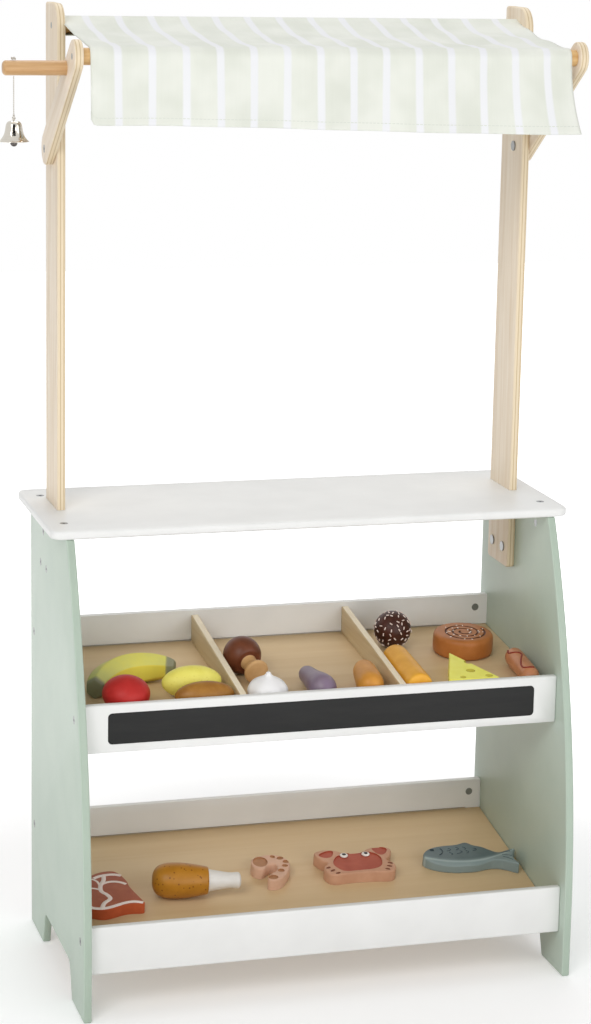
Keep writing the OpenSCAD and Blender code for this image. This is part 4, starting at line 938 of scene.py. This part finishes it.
oval = [((1 - math.cos(a)) / 2, math.sin(a)) for a in (math.pi * i / 14 for i in range(15))]
crust_paint = food_paint("bread_crust_paint", "#AA7730", "#986526", 0.42, 14)
turned("bread_roll", oval, 72, 17, crust_paint, on_tray("middle", -140.0, 0.914) @ lying(-36, 17))


# %% garlic and aubergine
def lobes(piece, count, depth, low, high):
    """Presses shallow furrows into a turned form, between two heights in millimetres."""
    mesh = edit(piece)
    for v in mesh.verts:
        share = min(1.0, max(0.0, (v.co.z / MM - low) / (high - low)))
        around = math.atan2(v.co.y, v.co.x)
        press = depth * math.sin(math.pi * share) * (0.5 + 0.5 * math.cos(count * around)) ** 2
        v.co.x, v.co.y = v.co.x * (1 - press), v.co.y * (1 - press)
    return leave(piece, 60)


garlic_shares = [(0, 0), (0, 0.45), (0.10, 0.80), (0.28, 0.98), (0.42, 1.0), (0.55, 0.94), (0.67, 0.76),
                 (0.76, 0.52), (0.83, 0.30), (0.89, 0.17), (0.94, 0.13), (0.985, 0.10), (1.0, 0.05), (1.0, 0)]
garlic = lobes(lathe("garlic_turned", sized(garlic_shares, 38, 25)), 7, 0.04, 4, 34)
garlic_paint = food_paint("garlic_white_paint", "#FDFCFC", "#F4F3F4", 0.35)
serve(paint(garlic, garlic_paint), "garlic", on_tray("middle", -61.0, 0.880))
aubergine_shares = [(0, 0), (0, 0.20), (0.03, 0.50), (0.08, 0.78), (0.14, 0.95), (0.22, 1.0), (0.32, 0.97),
                    (0.45, 0.87), (0.60, 0.74), (0.75, 0.67), (0.86, 0.65), (0.93, 0.58), (0.98, 0.42),
                    (1.0, 0.25), (1.0, 0)]
aubergine_paint = food_paint("aubergine_purple_paint", "#806B84", "#897A88", 0.36)
aubergine_spot = on_tray("middle", 4.0, 0.918, 93) @ lying(-0.208 * 84, 17, 4.5)
turned("aubergine", aubergine_shares, 84, 17, aubergine_paint, aubergine_spot)

# %% carrots
small_shares = [(0, 0), (0, 0.35), (0.02, 0.56), (0.06, 0.76), (0.12, 0.90), (0.2, 0.98), (0.32, 0.98),
                (0.75, 0.86), (0.90, 0.80), (0.97, 0.66), (1.0, 0.40), (1.0, 0)]
small_paint = food_paint("carrot_orange_paint", "#D9983F", "#C98733", 0.42)
turned("carrot_small", small_shares, 72, 17, small_paint, on_tray("middle", 66.0, 0.835, 82) @ lying(-36, 17))
large_shares = [(0, 0), (0, 0.86), (0.015, 0.96), (0.05, 1.0), (0.3, 1.0), (0.7, 1.0), (0.95, 1.0),
                (0.985, 0.96), (1.0, 0.86), (1.0, 0)]
large_paint = food_paint("carrot_gold_paint", "#F0B23E", "#E5A431", 0.42)
large_spot = on_tray("middle", 121.0, 0.770, 90) @ lying(-52, 16.5)
turned("carrot_large", large_shares, 104, 16.5, large_paint, large_spot)

# %% [markdown]
# ## Mushroom and drumstick
# Both are turned in one piece and dipped twice: the mushroom's cap is darker than its stem, and
# the drumstick's bone is white. The faces past the dip line get the second paint.

# %% mushroom
CAP_R, STEM_L = 23.5, 43.0
cap_angles = [math.radians(-90 + 138 * i / 16) for i in range(17)]
cap = [(CAP_R * math.sin(a), CAP_R * math.cos(a)) for a in cap_angles]
neck = [(z * CAP_R, r * CAP_R) for z, r in ((0.76, 0.55), (0.74, 0.44), (0.80, 0.41))]
foot_shares = ((18, 0.39), (13, 0.41), (7, 0.58), (4, 0.66), (1, 0.65), (0, 0.58), (0, 0))
foot = [(STEM_L - from_end, r * CAP_R) for from_end, r in foot_shares]
mushroom = lathe("mushroom_turned", cap + neck + foot)
mushroom_paints = (food_paint("mushroom_brown_paint", "#733F27", "#62341E", 0.4),
                   food_paint("mushroom_stem_paint", "#DEB37E", "#CC9F69", 0.48))
paint(mushroom, *mushroom_paints, second=lambda c, n: c.z > 0.765 * CAP_R)
serve(mushroom, "mushroom", on_tray("middle", -68.0, 0.490, -79) @ lying(0, CAP_R, 9.5))

# %% drumstick
DRUM_L, DRUM_R, DIP = 108.0, 22.0, 0.63
drum_shares = [(0, 0), (0, 0.30), (0.02, 0.60), (0.06, 0.82), (0.13, 0.96), (0.22, 1.0), (0.33, 0.99),
               (0.45, 0.92), (0.56, 0.82), (0.615, 0.77), (0.628, 0.74), (0.63, 0.64), (0.65, 0.60),
               (0.72, 0.55), (0.82, 0.46), (0.90, 0.42), (0.95, 0.47), (0.985, 0.44), (1.0, 0.25), (1.0, 0)]
drumstick = lathe("drumstick_turned", sized(drum_shares, DRUM_L, DRUM_R))
drum_paints = (food_paint("roast_brown_paint", "#BE8228", "#AE7520", 0.38, speck="#855216", speck_mm=4.6),
               food_paint("bone_white_paint", "#ECEAE7", "#E3E0DB", 0.4))
paint(drumstick, *drum_paints, second=lambda c, n: c.z > DIP * DRUM_L)
serve(drumstick, "drumstick", on_tray("lower", -152.5, 0.573, -9) @ lying(-0.32 * DRUM_L, DRUM_R))

# %% [markdown]
# ## Banana
# The banana is sawn to a bend and its edges are planed off, so its section is a soft hexagon
# that shows a light top and a darker side. A six-sided ring is spun through the bend, each
# ring is scaled to the taper, and the long edges are bevelled. Both ends are dipped in
# grey-green. Its sides are painted a brighter yellow than its top, as painted light.

# %% bent and tapered banana
BANANA_R, BEND_R, FIRST, LAST, RINGS = 18.0, 82.0, math.radians(151), math.radians(66), 60
banana = begin(bpy.ops.mesh.primitive_circle_add, "banana_planed", vertices=6, radius=BANANA_R * 1.06 * MM,
               fill_type="NGON", location=(BEND_R * MM, 0, BANANA_R * MM), rotation=(math.pi / 2, 0, 0))
put(banana, Matrix.Rotation(FIRST, 4, "Z"))
edit(banana, "FACE", "SELECT")
bpy.ops.mesh.spin(steps=RINGS, angle=FIRST - LAST, center=(0, 0, 0), axis=(0, 0, 1))  # turns clockwise


def bend_share(point):
    return min(1.0, max(0.0, (math.atan2(point.y, point.x) - FIRST) / (LAST - FIRST)))


mesh = bmesh.from_edit_mesh(banana.data)
for v in mesh.verts:
    share = bend_share(v.co)
    tip = 0.58 * (1 - share) + 0.42 * share
    taper = tip + (1 - tip) * math.sin(math.pi * share) ** 0.6
    spine = v.co.xy.normalized().to_3d() * BEND_R * MM + up * BANANA_R * MM
    off = (v.co - spine) * taper
    drop = BANANA_R * (1 - taper) * MM if share < 0.5 else 0
    v.co = spine + Vector((off.x, off.y, off.z * 1.09 - drop))
bpy.ops.mesh.select_all(action="SELECT")
bpy.ops.mesh.remove_doubles(threshold=0.01 * MM)
bpy.ops.mesh.normals_make_consistent(inside=False)
leave(banana, 0)
print("banana", RINGS, "rings")


# %% planed edges and dipped ends
def lengthwise(edge):
    return abs(bend_share(edge.verts[0].co) - bend_share(edge.verts[1].co)) > 0.01


def dipped(point):
    share = bend_share(point)
    return min(1.0, max(0.0, (DIP_MM - ARC_MM * min(share + 0.055, 1 - share)) / 1.6))


ARC_MM, DIP_MM = (FIRST - LAST) * BEND_R, 11.5
leave(bevel(banana, lambda mesh: [e for e in mesh.edges if lengthwise(e) or is_sharp(e)], 1.7, 3), 50)
# Painted light: the sides get a brighter, more saturated copy of the yellow than the top
banana_paints = (food_paint("banana_yellow_paint", "#E4DC6A", "#D2D27E", 0.45, 40, faded_and_highlight="#93937A"),
                 food_paint("banana_side_painted_light", "#ECDD58", "#E2D356", 0.45, 40, faded_and_highlight="#8D8F70"))
paint(fade_and_highlight(banana, dipped), *banana_paints, second=lambda c, n: n.z < 0.4)
serve(banana, "banana", on_tray("middle", -188.0, 0.860))

# %% [markdown]
# ## Chocolate ball
# The ball is turned and covered in sugar sprinkles. One sprinkle is a small eight-sided rod
# with rounded ends. Each copy goes where there is most room among a dozen random places, so
# the sprinkles lie evenly and still in no order.

# %% chocolate ball
CHOC_R, SPRINKLES, TRIES = 23.5, 108, 12
ball_spot = on_tray("middle", 141.5, 0.258) @ Matrix.Translation((0, 0, CHOC_R * MM))
chocolate = food_paint("chocolate_brown_paint", "#4A251A", "#381B12", 0.42, 14)
serve(paint(lathe("chocolate_ball_turned", half_round(CHOC_R, 16)), chocolate), "chocolate_ball", ball_spot)


# %% sprinkles
def end_rims(mesh):
    return [e for e in mesh.edges if abs(e.verts[0].co.x - e.verts[1].co.x) < 0.1 * MM]


sprinkle = begin(bpy.ops.mesh.primitive_cylinder_add, "chocolate_sprinkles", vertices=8, radius=0.75 * MM,
                 depth=3.9 * MM, rotation=(0, math.pi / 2, 0))
leave(bevel(sprinkle, end_rims, 0.5, 2, clamp=False), 60)
rods = [sprinkle]
for i in range(1, SPRINKLES):
    alone(sprinkle)
    bpy.ops.object.duplicate()
    rods.append(bpy.context.object)
draw, taken = random.Random(7), []
for rod in rods:
    tries = [Vector([draw.gauss(0, 1) for _ in range(3)]).normalized() for _ in range(TRIES)]
    out = max(tries, key=lambda p: min([(p - q).length for q in taken] or [2.0]))
    taken.append(out)
    stand = Matrix.Translation(out * (CHOC_R + 0.1) * MM) @ out.to_track_quat("Z", "X").to_matrix().to_4x4()
    rod.matrix_world = stand @ Matrix.Rotation(draw.uniform(0, math.pi), 4, "Z")
alone(sprinkle)
for rod in rods:
    rod.select_set(True)
bpy.ops.object.transform_apply()
bpy.ops.object.join()
paint(sprinkle, food_paint("sugar_sprinkle_paint", "#F7EAE2", "#EBD6CC", 0.45, 3))
serve(sprinkle, "chocolate_ball", ball_spot, stands_for=False)
print("sprinkles", SPRINKLES)

# %% [markdown]
# ## Carving
# Flat food is sawn from a board, and its details are cut with a router and painted darker. A
# cutter is a flat outline, extruded up through the surface, or a round line. A Boolean takes
# all the cutters of one piece away together, and the pockets keep the cutters' paint.


# %% outlines of cutters
def ellipse(x, y, wide, long, turn=0, count=20):
    spin, points = math.radians(turn), []
    for a in (math.tau * i / count for i in range(count)):
        across, along = wide / 2 * math.cos(a), long / 2 * math.sin(a)
        points.append((x + across * math.cos(spin) - along * math.sin(spin),
                       y + across * math.sin(spin) + along * math.cos(spin)))
    return points


def slot_shape(start, end, wide):
    """A long ellipse from one end to the other."""
    (x, y), (far_x, far_y) = start, end
    turn = math.degrees(math.atan2(far_y - y, far_x - x))
    return ellipse((x + far_x) / 2, (y + far_y) / 2, math.hypot(far_x - x, far_y - y), wide, turn, 14)


def soften(points, rounds=2):
    for _ in range(rounds):
        pairs = zip(points, points[1:] + points[:1])
        points = [p for a, b in pairs for p in ((0.75 * a[0] + 0.25 * b[0], 0.75 * a[1] + 0.25 * b[1]),
                                                (0.25 * a[0] + 0.75 * b[0], 0.25 * a[1] + 0.75 * b[1]))]
    return points


print("ellipse", len(ellipse(0, 0, 1, 1)), "points")


# %% plates and drawn lines
def plate(name, outline, low, high):
    """A flat outline, extruded between two heights in millimetres."""
    piece = begin(bpy.ops.mesh.primitive_circle_add, name, vertices=len(outline), radius=MM, fill_type="NGON")
    mesh = edit(piece, "VERT", "SELECT")
    mesh.verts.ensure_lookup_table()
    for v, (x, y) in zip(mesh.verts, outline):
        v.co = Vector((x, y, low)) * MM
    bmesh.update_edit_mesh(piece.data)
    bpy.ops.mesh.extrude_region_move(TRANSFORM_OT_translate={"value": (0, 0, (high - low) * MM)})
    bpy.ops.mesh.select_all(action="SELECT")
    bpy.ops.mesh.normals_make_consistent(inside=False)
    return leave(piece, 40)


def drawn_line(name, points, width, flat=1.0):
    """A round line through 3-D points in millimetres, smoothed, and pressed flat about its height."""
    last, fine = len(points) - 1, []
    for i in range(last):
        a, b, c, d = (Vector(points[min(max(i + k, 0), last)]) for k in (-1, 0, 1, 2))
        for t in (0, 0.25, 0.5, 0.75):
            fine.append(0.5 * (2 * b + (c - a) * t + (2 * a - 5 * b + 4 * c - d) * t * t
                               + (3 * b - a - 3 * c + d) * t ** 3))
    fine.append(Vector(points[-1]))
    piece = round_line(name, [p * MM for p in fine], width / 2, 3)
    alone(piece)
    bpy.ops.object.convert(target="MESH")
    if flat != 1:
        mesh, level = edit(piece), points[0][2] * MM
        for v in mesh.verts:
            v.co.z = level + (v.co.z - level) * flat
        bpy.ops.mesh.select_all(action="SELECT")
        bpy.ops.mesh.normals_make_consistent(inside=False)
        leave(piece, 60)
    return piece


print("square softened to", len(soften([(0, 0), (1, 0), (1, 1), (0, 1)])), "points")


# %% sawing and carving
def sawn(node, spot, top, radius):
    """A copy of a sawn slab in its own flat frame, with its upper edge rounded."""
    def upper_edges(mesh):
        return [e for e in mesh.edges if is_sharp(e) and all(v.co.z > (top - 0.1) * MM for v in e.verts)]

    piece = copy_of(node)
    piece.data.transform(spot.inverted())
    return leave(bevel(piece, upper_edges, radius, 4))


def joined(pieces):
    alone(pieces[0])
    for piece in pieces:
        piece.select_set(True)
    if len(pieces) > 1:
        bpy.ops.object.join()
    return pieces[0]


def carve(piece, cutters, material):
    tool = paint(joined(cutters), material)
    use(piece, "BOOLEAN", object=tool, operation="DIFFERENCE", solver="EXACT", material_mode="TRANSFER")
    bpy.data.objects.remove(tool)
    edit(piece, "FACE", "SELECT")
    bpy.ops.mesh.remove_doubles(threshold=0.01 * MM)
    bpy.ops.mesh.dissolve_degenerate(threshold=0.02 * MM)
    bpy.ops.mesh.quads_convert_to_tris(quad_method="BEAUTY", ngon_method="CLIP")
    bpy.ops.mesh.select_all(action="DESELECT")
    # Slivers fold into pairs of faces on the same points and into loose flaps, which are taken away
    mesh, twins = bmesh.from_edit_mesh(piece.data), {}
    for face in mesh.faces:
        twins.setdefault(frozenset(face.verts), []).append(face)
    for faces in twins.values():
        for face in faces:
            face.select_set(len(faces) > 1)
    bpy.ops.mesh.delete(type="FACE")
    mesh = bmesh.from_edit_mesh(piece.data)
    for face in mesh.faces:
        face.select_set(sum(len(edge.link_faces) == 1 for edge in face.edges) > 1)
    bpy.ops.mesh.delete(type="FACE")
    return leave(piece)


print("helpers", [helper.__name__ for helper in (sawn, joined, carve)])

# %% [markdown]
# ## Cinnamon bun and cheese
# The bun is a turned disc with a spiral groove, cut with a ball-nosed tool along a line that
# winds outwards, and dotted with drops of icing. The cheese is a sawn wedge with round holes,
# whose insides are painted a darker olive yellow as painted shade.

# %% cinnamon bun
BUN_R, BUN_H, BUN_TURNS, SPIRAL_STEPS = 38.0, 26.0, 2.7, 60
bun_spot = on_tray("middle", 225.4, 0.378)
bun_profile = [(0, 0), (0, BUN_R * 0.6), (0, BUN_R - 4), (1.2, BUN_R - 1.2), (4, BUN_R), (BUN_H - 5, BUN_R),
               (BUN_H - 1.6, BUN_R - 1.4), (BUN_H - 0.2, BUN_R - 4.5), (BUN_H, BUN_R - 8),
               (BUN_H, BUN_R * 0.5), (BUN_H, 4), (BUN_H, 0)]
bun_paint = food_paint("caramel_brown_paint", "#B9743C", "#AB6931", 0.42)
bun = paint(lathe("cinnamon_bun_turned", bun_profile, 40), bun_paint)
spiral = []
for i in range(SPIRAL_STEPS + 1):
    a, out = math.tau * BUN_TURNS * i / SPIRAL_STEPS + 2.2, 4 + 23.5 * i / SPIRAL_STEPS
    spiral.append((out * math.cos(a), out * math.sin(a), BUN_H + 0.3))
groove_paint = food_paint("cinnamon_groove_paint", "#643722", "#552D1A", 0.5)
carve(bun, [drawn_line("spiral_cutter", spiral, 3.0)], groove_paint)
serve(bun, "cinnamon_bun", bun_spot)

# %% icing
DROPS, STRAY = 26, 3.5
drops, draw = [], random.Random(11)
for i in range(DROPS):
    x, y = spiral[round(12 + 48 * i / (DROPS - 1))][:2]
    drop = lathe("icing_drop", [(-0.3, 0), (-0.3, 0.85), (0.25, 0.8), (0.55, 0.4), (0.6, 0)], 10, 0)
    spot = Vector((x + draw.uniform(-STRAY, STRAY), y + draw.uniform(-STRAY, STRAY), BUN_H)) * MM
    spin = Matrix.Rotation(draw.uniform(0, math.pi), 4, "Z")
    drops.append(put(drop, Matrix.Translation(spot) @ spin @ Matrix.Diagonal((1.7, 0.8, 1, 1))))
icing = paint(joined(drops), food_paint("icing_white_paint", "#F6E9DD", "#EBD8C8", 0.4, 3))
icing.name = icing.data.name = "cinnamon_bun_icing"
serve(icing, "cinnamon_bun", bun_spot, stands_for=False)
print("drops of icing", DROPS)

# %% cheese wedge
CHEESE_H = 20.0
cheese_spot = on_tray("middle", 189.3, 0.590)
cheese_paint = food_paint("cheese_yellow_paint", "#FFFC78", "#FAF569", 0.45)
cheese = paint(sawn("cheese_wedge", cheese_spot, CHEESE_H, 1.4), cheese_paint)
holes = []
for x, y, rise, wide in ((6, -63, 1, 12), (23, -82, 1.2, 10), (13, -35, -1, 12), (-10, -31, -6, 6.5),
                         (-18, -54, -7, 7.5), (-10, -82, 1, 8)):
    hole = lathe("cheese_hole_cutter", half_round(wide / 2, 10, 0.7), 20, 0)
    holes.append(put(hole, Matrix.Translation(Vector((x, y, CHEESE_H + rise)) * MM)))
# The holes' insides get a darker olive yellow, painted shade in the hollows
carve(cheese, holes, food_paint("cheese_hole_painted_shade", "#C9BE4C", "#BCB13F", 0.5))
serve(cheese, "cheese_wedge", cheese_spot)

# %% [markdown]
# ## Sausage
# The sausage is a turned rod with round ends. A red line of sauce runs to and fro along its top.
# It is a drawn line that follows the round surface, half sunk into it.

# %% sausage
SAUSAGE_R, SAUSAGE_L = 12.0, 86.0
sausage_spot = on_tray("middle", 270.5, 0.757, 87)
end = SAUSAGE_L / 2 - SAUSAGE_R
quarter = [math.pi / 2 * i / 8 for i in range(9)]
round_end = [(SAUSAGE_R * math.sin(a), SAUSAGE_R * math.cos(a)) for a in quarter]
sausage_profile = [(-end - z, r) for z, r in round_end[::-1]]
sausage_profile += [(-end / 3, SAUSAGE_R), (end / 3, SAUSAGE_R)] + [(end + z, r) for z, r in round_end]
sausage_paint = food_paint("sausage_tan_paint", "#CB8A62", "#BE7D56", 0.36)
sausage = paint(lathe("sausage_turned", sausage_profile), sausage_paint)
serve(sausage, "sausage", sausage_spot @ lying(0, SAUSAGE_R))
leans = [(33, 0.8), (27, 0.9), (21, 0.55), (16, 0.05), (10, -0.15), (3, 0.05), (-6, 0.35), (-16, 0.62),
         (-25, 0.7), (-31, 0.45), (-33, 0.05), (-33, -0.35)]
sauce = [(along, SAUSAGE_R * math.sin(lean), SAUSAGE_R * (1 + math.cos(lean))) for along, lean in leans]
sauce_paint = food_paint("sauce_red_paint", "#97392A", "#8A3123", 0.4)
sauce_line = paint(drawn_line("sausage_sauce", sauce, 2.2), sauce_paint)
serve(sauce_line, "sausage", sausage_spot, stands_for=False)

# %% [markdown]
# ## Steak
# The steak is a sawn slab, red-brown at its sides and darker on top. Its fat and bone are pale
# lines of thick paint, so they stand a little proud of the top and follow its edge.

# %% steak
SLAB = 14.5
steak_spot = on_tray("lower", -240.1, 0.555)
steak = sawn("steak", steak_spot, SLAB, 1.0)
steak_paints = (food_paint("steak_side_paint", "#C65E37", "#B85430", 0.5),
                food_paint("steak_top_paint", "#B4694F", "#A85E46", 0.6))
paint(steak, *steak_paints, second=lambda c, n: n.z > 0.8)
serve(steak, "steak", steak_spot)
fat_lines = [
    (5.4, [(-33, -28), (-28, -38), (-17, -42), (-5, -40), (11, -34), (24, -32), (35, -36)]),
    (5.6, [(-16, -41), (-11, -30), (-2, -21), (-4, -11), (-9, -2), (-8, 9), (-5, 16), (-1, 24), (1, 33)]),
    (5.4, [(-12, 30), (-4, 34), (7, 36), (15, 35), (22, 31.5)]),
    (4.6, [(-5, 15), (3, 18.5), (11, 18.5), (19, 15), (24, 10)]),
    (3.4, [(-14, 29), (-9, 21), (-8, 10)]),
    (3.4, [(-30, 10), (-16, 6), (-9, 1)]),
]
fat = [drawn_line("steak_fat", [(x, y, SLAB - 0.1) for x, y in line], wide, 0.25) for wide, line in fat_lines]
fat = paint(joined(fat), food_paint("steak_fat_paint", "#FFF2EE", "#F8E8E3", 0.5))
serve(fat, "steak", steak_spot, stands_for=False)

# %% [markdown]
# ## Shrimp and crab
# Each animal is a sawn outline with routed pockets. The shrimp has a head, a tail and a row of
# segments. The crab has a shell, two claws and legs, and its eyes are small turned beads.

# %% shrimp
POCKET = SLAB - 1.6, SLAB + 3  # from a pocket's floor to well above the slab
shrimp_spot = on_tray("lower", -29.9, 0.477)
shrimp_paint = food_paint("shrimp_pink_paint", "#DFB79E", "#D4AA90", 0.5)
shrimp = paint(sawn("shrimp", shrimp_spot, SLAB, 2.0), shrimp_paint)
head, tail_fan = ellipse(-11.5, 14.5, 18.5, 25, -12), ellipse(-5, -25, 12, 11)
segments = [((5.8, 28.2), (8.0, 20.8), 6.2), ((11.6, 17.2), (19.2, 22), 7.8), ((16.4, 9), (24.2, 11), 8.0),
            ((13, 2), (20, -1), 7.0), ((5.5, -7.5), (12, -13), 8.6)]
shrimp_cuts = [head, tail_fan] + [slot_shape(*segment) for segment in segments]
shrimp_cuts = [plate("shrimp_cutter", outline, *POCKET) for outline in shrimp_cuts]
carve(shrimp, shrimp_cuts, food_paint("shrimp_pocket_paint", "#B98862", "#AB7A56", 0.55))
serve(shrimp, "shrimp", shrimp_spot)

# %% crab
crab_spot = on_tray("lower", 78.9, 0.484, -2)
crab = paint(sawn("crab", crab_spot, SLAB, 2.0), food_paint("crab_tan_paint", "#D0A184", "#C59477", 0.5))
crab_shell = [(-30, 3), (-23, 14), (-18, 16), (-5, 21), (11, 22), (25, 19), (32, 8), (32, -3), (28, -17),
              (17, -23), (-2, -24), (-22, -25), (-28, -17), (-32, -7)]
claws = [[(-45, 21), (-34, 28), (-23, 29), (-28, 13), (-37, 10), (-44, 15)],
         [(25, 30), (35, 33), (46, 26), (42, 15), (35, 9), (28, 14)]]
crab_cuts = [plate("crab_cutter", soften(outline), *POCKET) for outline in [crab_shell] + claws]
carve(crab, crab_cuts, food_paint("crab_red_paint", "#B65C46", "#AA513C", 0.55))
legs = [((-43, -15), (-37, -11)), ((-39, -23), (-33, -18)), ((-34, -29), (-28, -26)), ((37, -9), (43, -13)),
        ((34, -17), (40, -20)), ((30, -24), (36, -27))]
leg_cuts = [plate("crab_leg_cutter", slot_shape(a, b, 4.2), *POCKET) for a, b in legs]
carve(crab, leg_cuts, food_paint("crab_leg_paint", "#9C6A52", "#8E5E48", 0.55))
serve(crab, "crab", crab_spot)

# %% crab's eyes
bead = [(-1.4, 0), (-1.4, 5.4), (0.2, 5.4), (0.9, 4.7), (1.2, 3.0), (1.2, 0)]
pupil = [(1.0, 0), (1.0, 2.9), (1.6, 2.6), (1.8, 1.4), (1.8, 0)]
for name, profile, code, drift in (("crab_eyes", bead, "#F5F2EE", "#EAE5DF"),
                                   ("crab_pupils", pupil, "#2F2522", "#251C1A")):
    eyes = [put(lathe(name, profile, 16), Matrix.Translation(Vector((x, 15, SLAB)) * MM)) for x in (-13, 15)]
    eyes = paint(joined(eyes), food_paint(name + "_paint", code, drift, 0.3))
    eyes.name = eyes.data.name = name
    serve(eyes, "crab", crab_spot, stands_for=False)
    print(name, len(eyes.data.polygons), "faces")

# %% [markdown]
# ## Fish
# The fish is sawn like the others and then sanded round, with a wide bevel along its belly. A
# remesh gives it an even skin that a smoothing can round, and the belly is pressed down. An
# eye, a gill, a few scales and the tail's rays are cut in. The belly fades to a light grey, and
# a narrow band along the ridge above it is painted lighter still, as a painted highlight.


# %% sanded fish
def above_belly(point):
    return point.y + 25 - 0.0055 * (point.x + 14) ** 2


fish_spot = on_tray("lower", 223.3, 0.503, -9.5)
fish = sawn("fish", fish_spot, SLAB, 1.5)
use(fish, "REMESH", mode="VOXEL", voxel_size=0.8 * MM)
use(fish, "SMOOTH", factor=0.5, iterations=10)
BELLY_W, BELLY_DROP, BELLY_FROM, BELLY_TO = 9, 4.5, -58, 30
mesh = edit(fish)
for v in mesh.verts:
    near = 1 - above_belly(v.co / MM) / BELLY_W
    if near > 0 and BELLY_FROM * MM < v.co.x < BELLY_TO * MM:
        high_up, to_tail = (v.co.z / (SLAB * MM)) ** 2, min(1.0, 2.5 - 0.08 * v.co.x / MM)
        v.co.z -= BELLY_DROP * MM * min(1.0, near) ** 2 * high_up * to_tail
leave(fish)
print("fish", len(fish.data.polygons), "faces before carving")


# %% fish's marks
def on_top(*points):
    return [(x, y, SLAB) for x, y in points]


# The belly's side takes half the light grey, and a narrow band along the ridge takes nearly all of it as a
# painted highlight
def belly_tone_and_painted_highlight(point):
    above = above_belly(point)
    return max(0.5 * min(1.0, max(0.0, (12 - above) / 8)), 0.95 * math.exp(-((above - 5.5) / 2.2) ** 2))


fish_cuts = [plate("fish_cutter", ellipse(-45, 8, 6, 6), *POCKET)]
fish_cuts.append(drawn_line("gill_cutter", on_top((-34, 12), (-32, 6), (-33, 0), (-37, -5)), 1.8))
scales = ((-22, 9, 1), (-20, -1, -1), (-11, 12, 0), (-9, 3, 2), (-1, 13, -1), (1, 4, 0), (11, 10, 1))
for x, y, lean in scales:
    arc = on_top((x - 3 + lean, y + 3.6), (x + lean, y + 1.4), (x, y - 1.6), (x - 3 - lean, y - 3.4))
    fish_cuts.append(drawn_line("scale_cutter", arc, 1.4))
for y in (5, -4, -12):
    fish_cuts.append(drawn_line("tail_cutter", on_top((43, y * 0.6), (49, y * 0.9), (55, y * 1.3)), 1.5))
carve(fish, fish_cuts, food_paint("fish_mark_paint", "#4B5B61", "#404F55", 0.45))
# The light grey is the belly's colour, and along the ridge it is a painted highlight
fish.data.materials[0] = food_paint("fish_grey_paint", "#5D6E70", "#546567", 0.36, faded_and_highlight="#A6B6B6")
serve(fade_and_highlight(fish, belly_tone_and_painted_highlight), "fish", fish_spot)

# %% [markdown]
# ## Floor and light
# The studio is a white floor that runs into a white background. The floor takes the stall's
# soft shadow, and a little extra light in its material, seen only by the camera and by
# reflections, lifts it to white. Five large soft lamps light the stall at a plain level, and a
# black card beside the camera gives the polished bell something dark to reflect.


# %% white floor
def empty_tree(block):
    block.use_nodes = True
    block.node_tree.nodes.clear()
    return block.node_tree


def seen_rays(tree):
    """One for rays from the camera, a reflection or glass, and zero for light on the stall."""
    rays = add(tree, "LightPath").outputs
    sees = add(tree, "Math", {0: rays["Is Camera Ray"], 1: rays["Is Glossy Ray"]}, operation="MAXIMUM")
    return add(tree, "Math", {0: sees, 1: rays["Is Transmission Ray"]}, operation="MAXIMUM")


floor = begin(bpy.ops.mesh.primitive_plane_add, "studio_floor", size=12)
white_floor = bpy.data.materials.new("white_studio_floor")
tree = empty_tree(white_floor)
away = add(tree, "VectorMath", {0: add(tree, "TexCoord").outputs["Object"]}, operation="LENGTH")
lift_range = {"Value": away, "From Min": 0.45, "From Max": 1.3, "To Min": 0.25, "To Max": 1.0}
lift_by_place = add(tree, "MapRange", lift_range, interpolation_type="SMOOTHSTEP")
lift = add(tree, "Math", {0: seen_rays(tree), 1: lift_by_place}, operation="MULTIPLY")
matt = add(tree, "BsdfDiffuse", {"Color": linear("#F2F2F2")})
glow = add(tree, "Emission", {"Strength": lift})
total = add(tree, "AddShader", {0: matt, 1: glow})
add(tree, "OutputMaterial", {"Surface": total})
floor.data.materials.append(white_floor)
print("floor", floor.dimensions[:2])

# %% black card
card = begin(bpy.ops.mesh.primitive_plane_add, "studio_black_card", size=1.1, location=(-0.56, -1.35, 1.57),
             rotation=(math.radians(65), 0, math.radians(-10)))
card.visible_camera = card.visible_diffuse = card.visible_transmission = card.visible_shadow = False
black_card = bpy.data.materials.new("black_card")
tree = empty_tree(black_card)
matt = add(tree, "BsdfDiffuse", {"Color": linear("#1A1716")})
add(tree, "OutputMaterial", {"Surface": matt})
card.data.materials.append(black_card)
print("card", [round(v, 2) for v in card.dimensions])

# %% studio light
world = bpy.data.worlds.new("white_studio")
bpy.context.scene.world = world
tree = empty_tree(world)
level = add(tree, "MapRange", {"Value": seen_rays(tree), "To Min": 0.42, "To Max": 1.0})
sky = add(tree, "Background", {"Color": (1, 1, 1, 1), "Strength": level})
add(tree, "OutputWorld", {"Surface": sky})


def soft_lamp(name, place, aim, size, watts):
    light = bpy.data.lights.new(name, "AREA")
    light.shape, light.size, light.energy = "DISK", size, watts
    lamp = bpy.data.objects.new(name, light)
    lamp.location = place
    lamp.rotation_euler = (Vector(aim) - Vector(place)).to_track_quat("-Z", "Y").to_euler()
    bpy.context.scene.collection.objects.link(lamp)
    return lamp


stall_middle = (0, 0, 0.5)
lamps = [soft_lamp("key_front_left", (-1.9, -2.6, 2.6), stall_middle, 1.8, 47),
         soft_lamp("fill_front", (0.6, -3.2, 0.9), stall_middle, 2.0, 22),
         soft_lamp("fill_front_right", (2.2, -2.4, 1.5), stall_middle, 2.0, 13),
         soft_lamp("fill_low_left", (-1.7, -0.3, 0.15), (-0.3, 0, 0.1), 0.9, 3.5),
         soft_lamp("top_back", (0.3, 1.2, 3.0), stall_middle, 2.0, 24)]
bpy.context.scene.view_settings.view_transform = "Standard"
print("lamps", [(lamp.name, lamp.data.energy) for lamp in lamps])
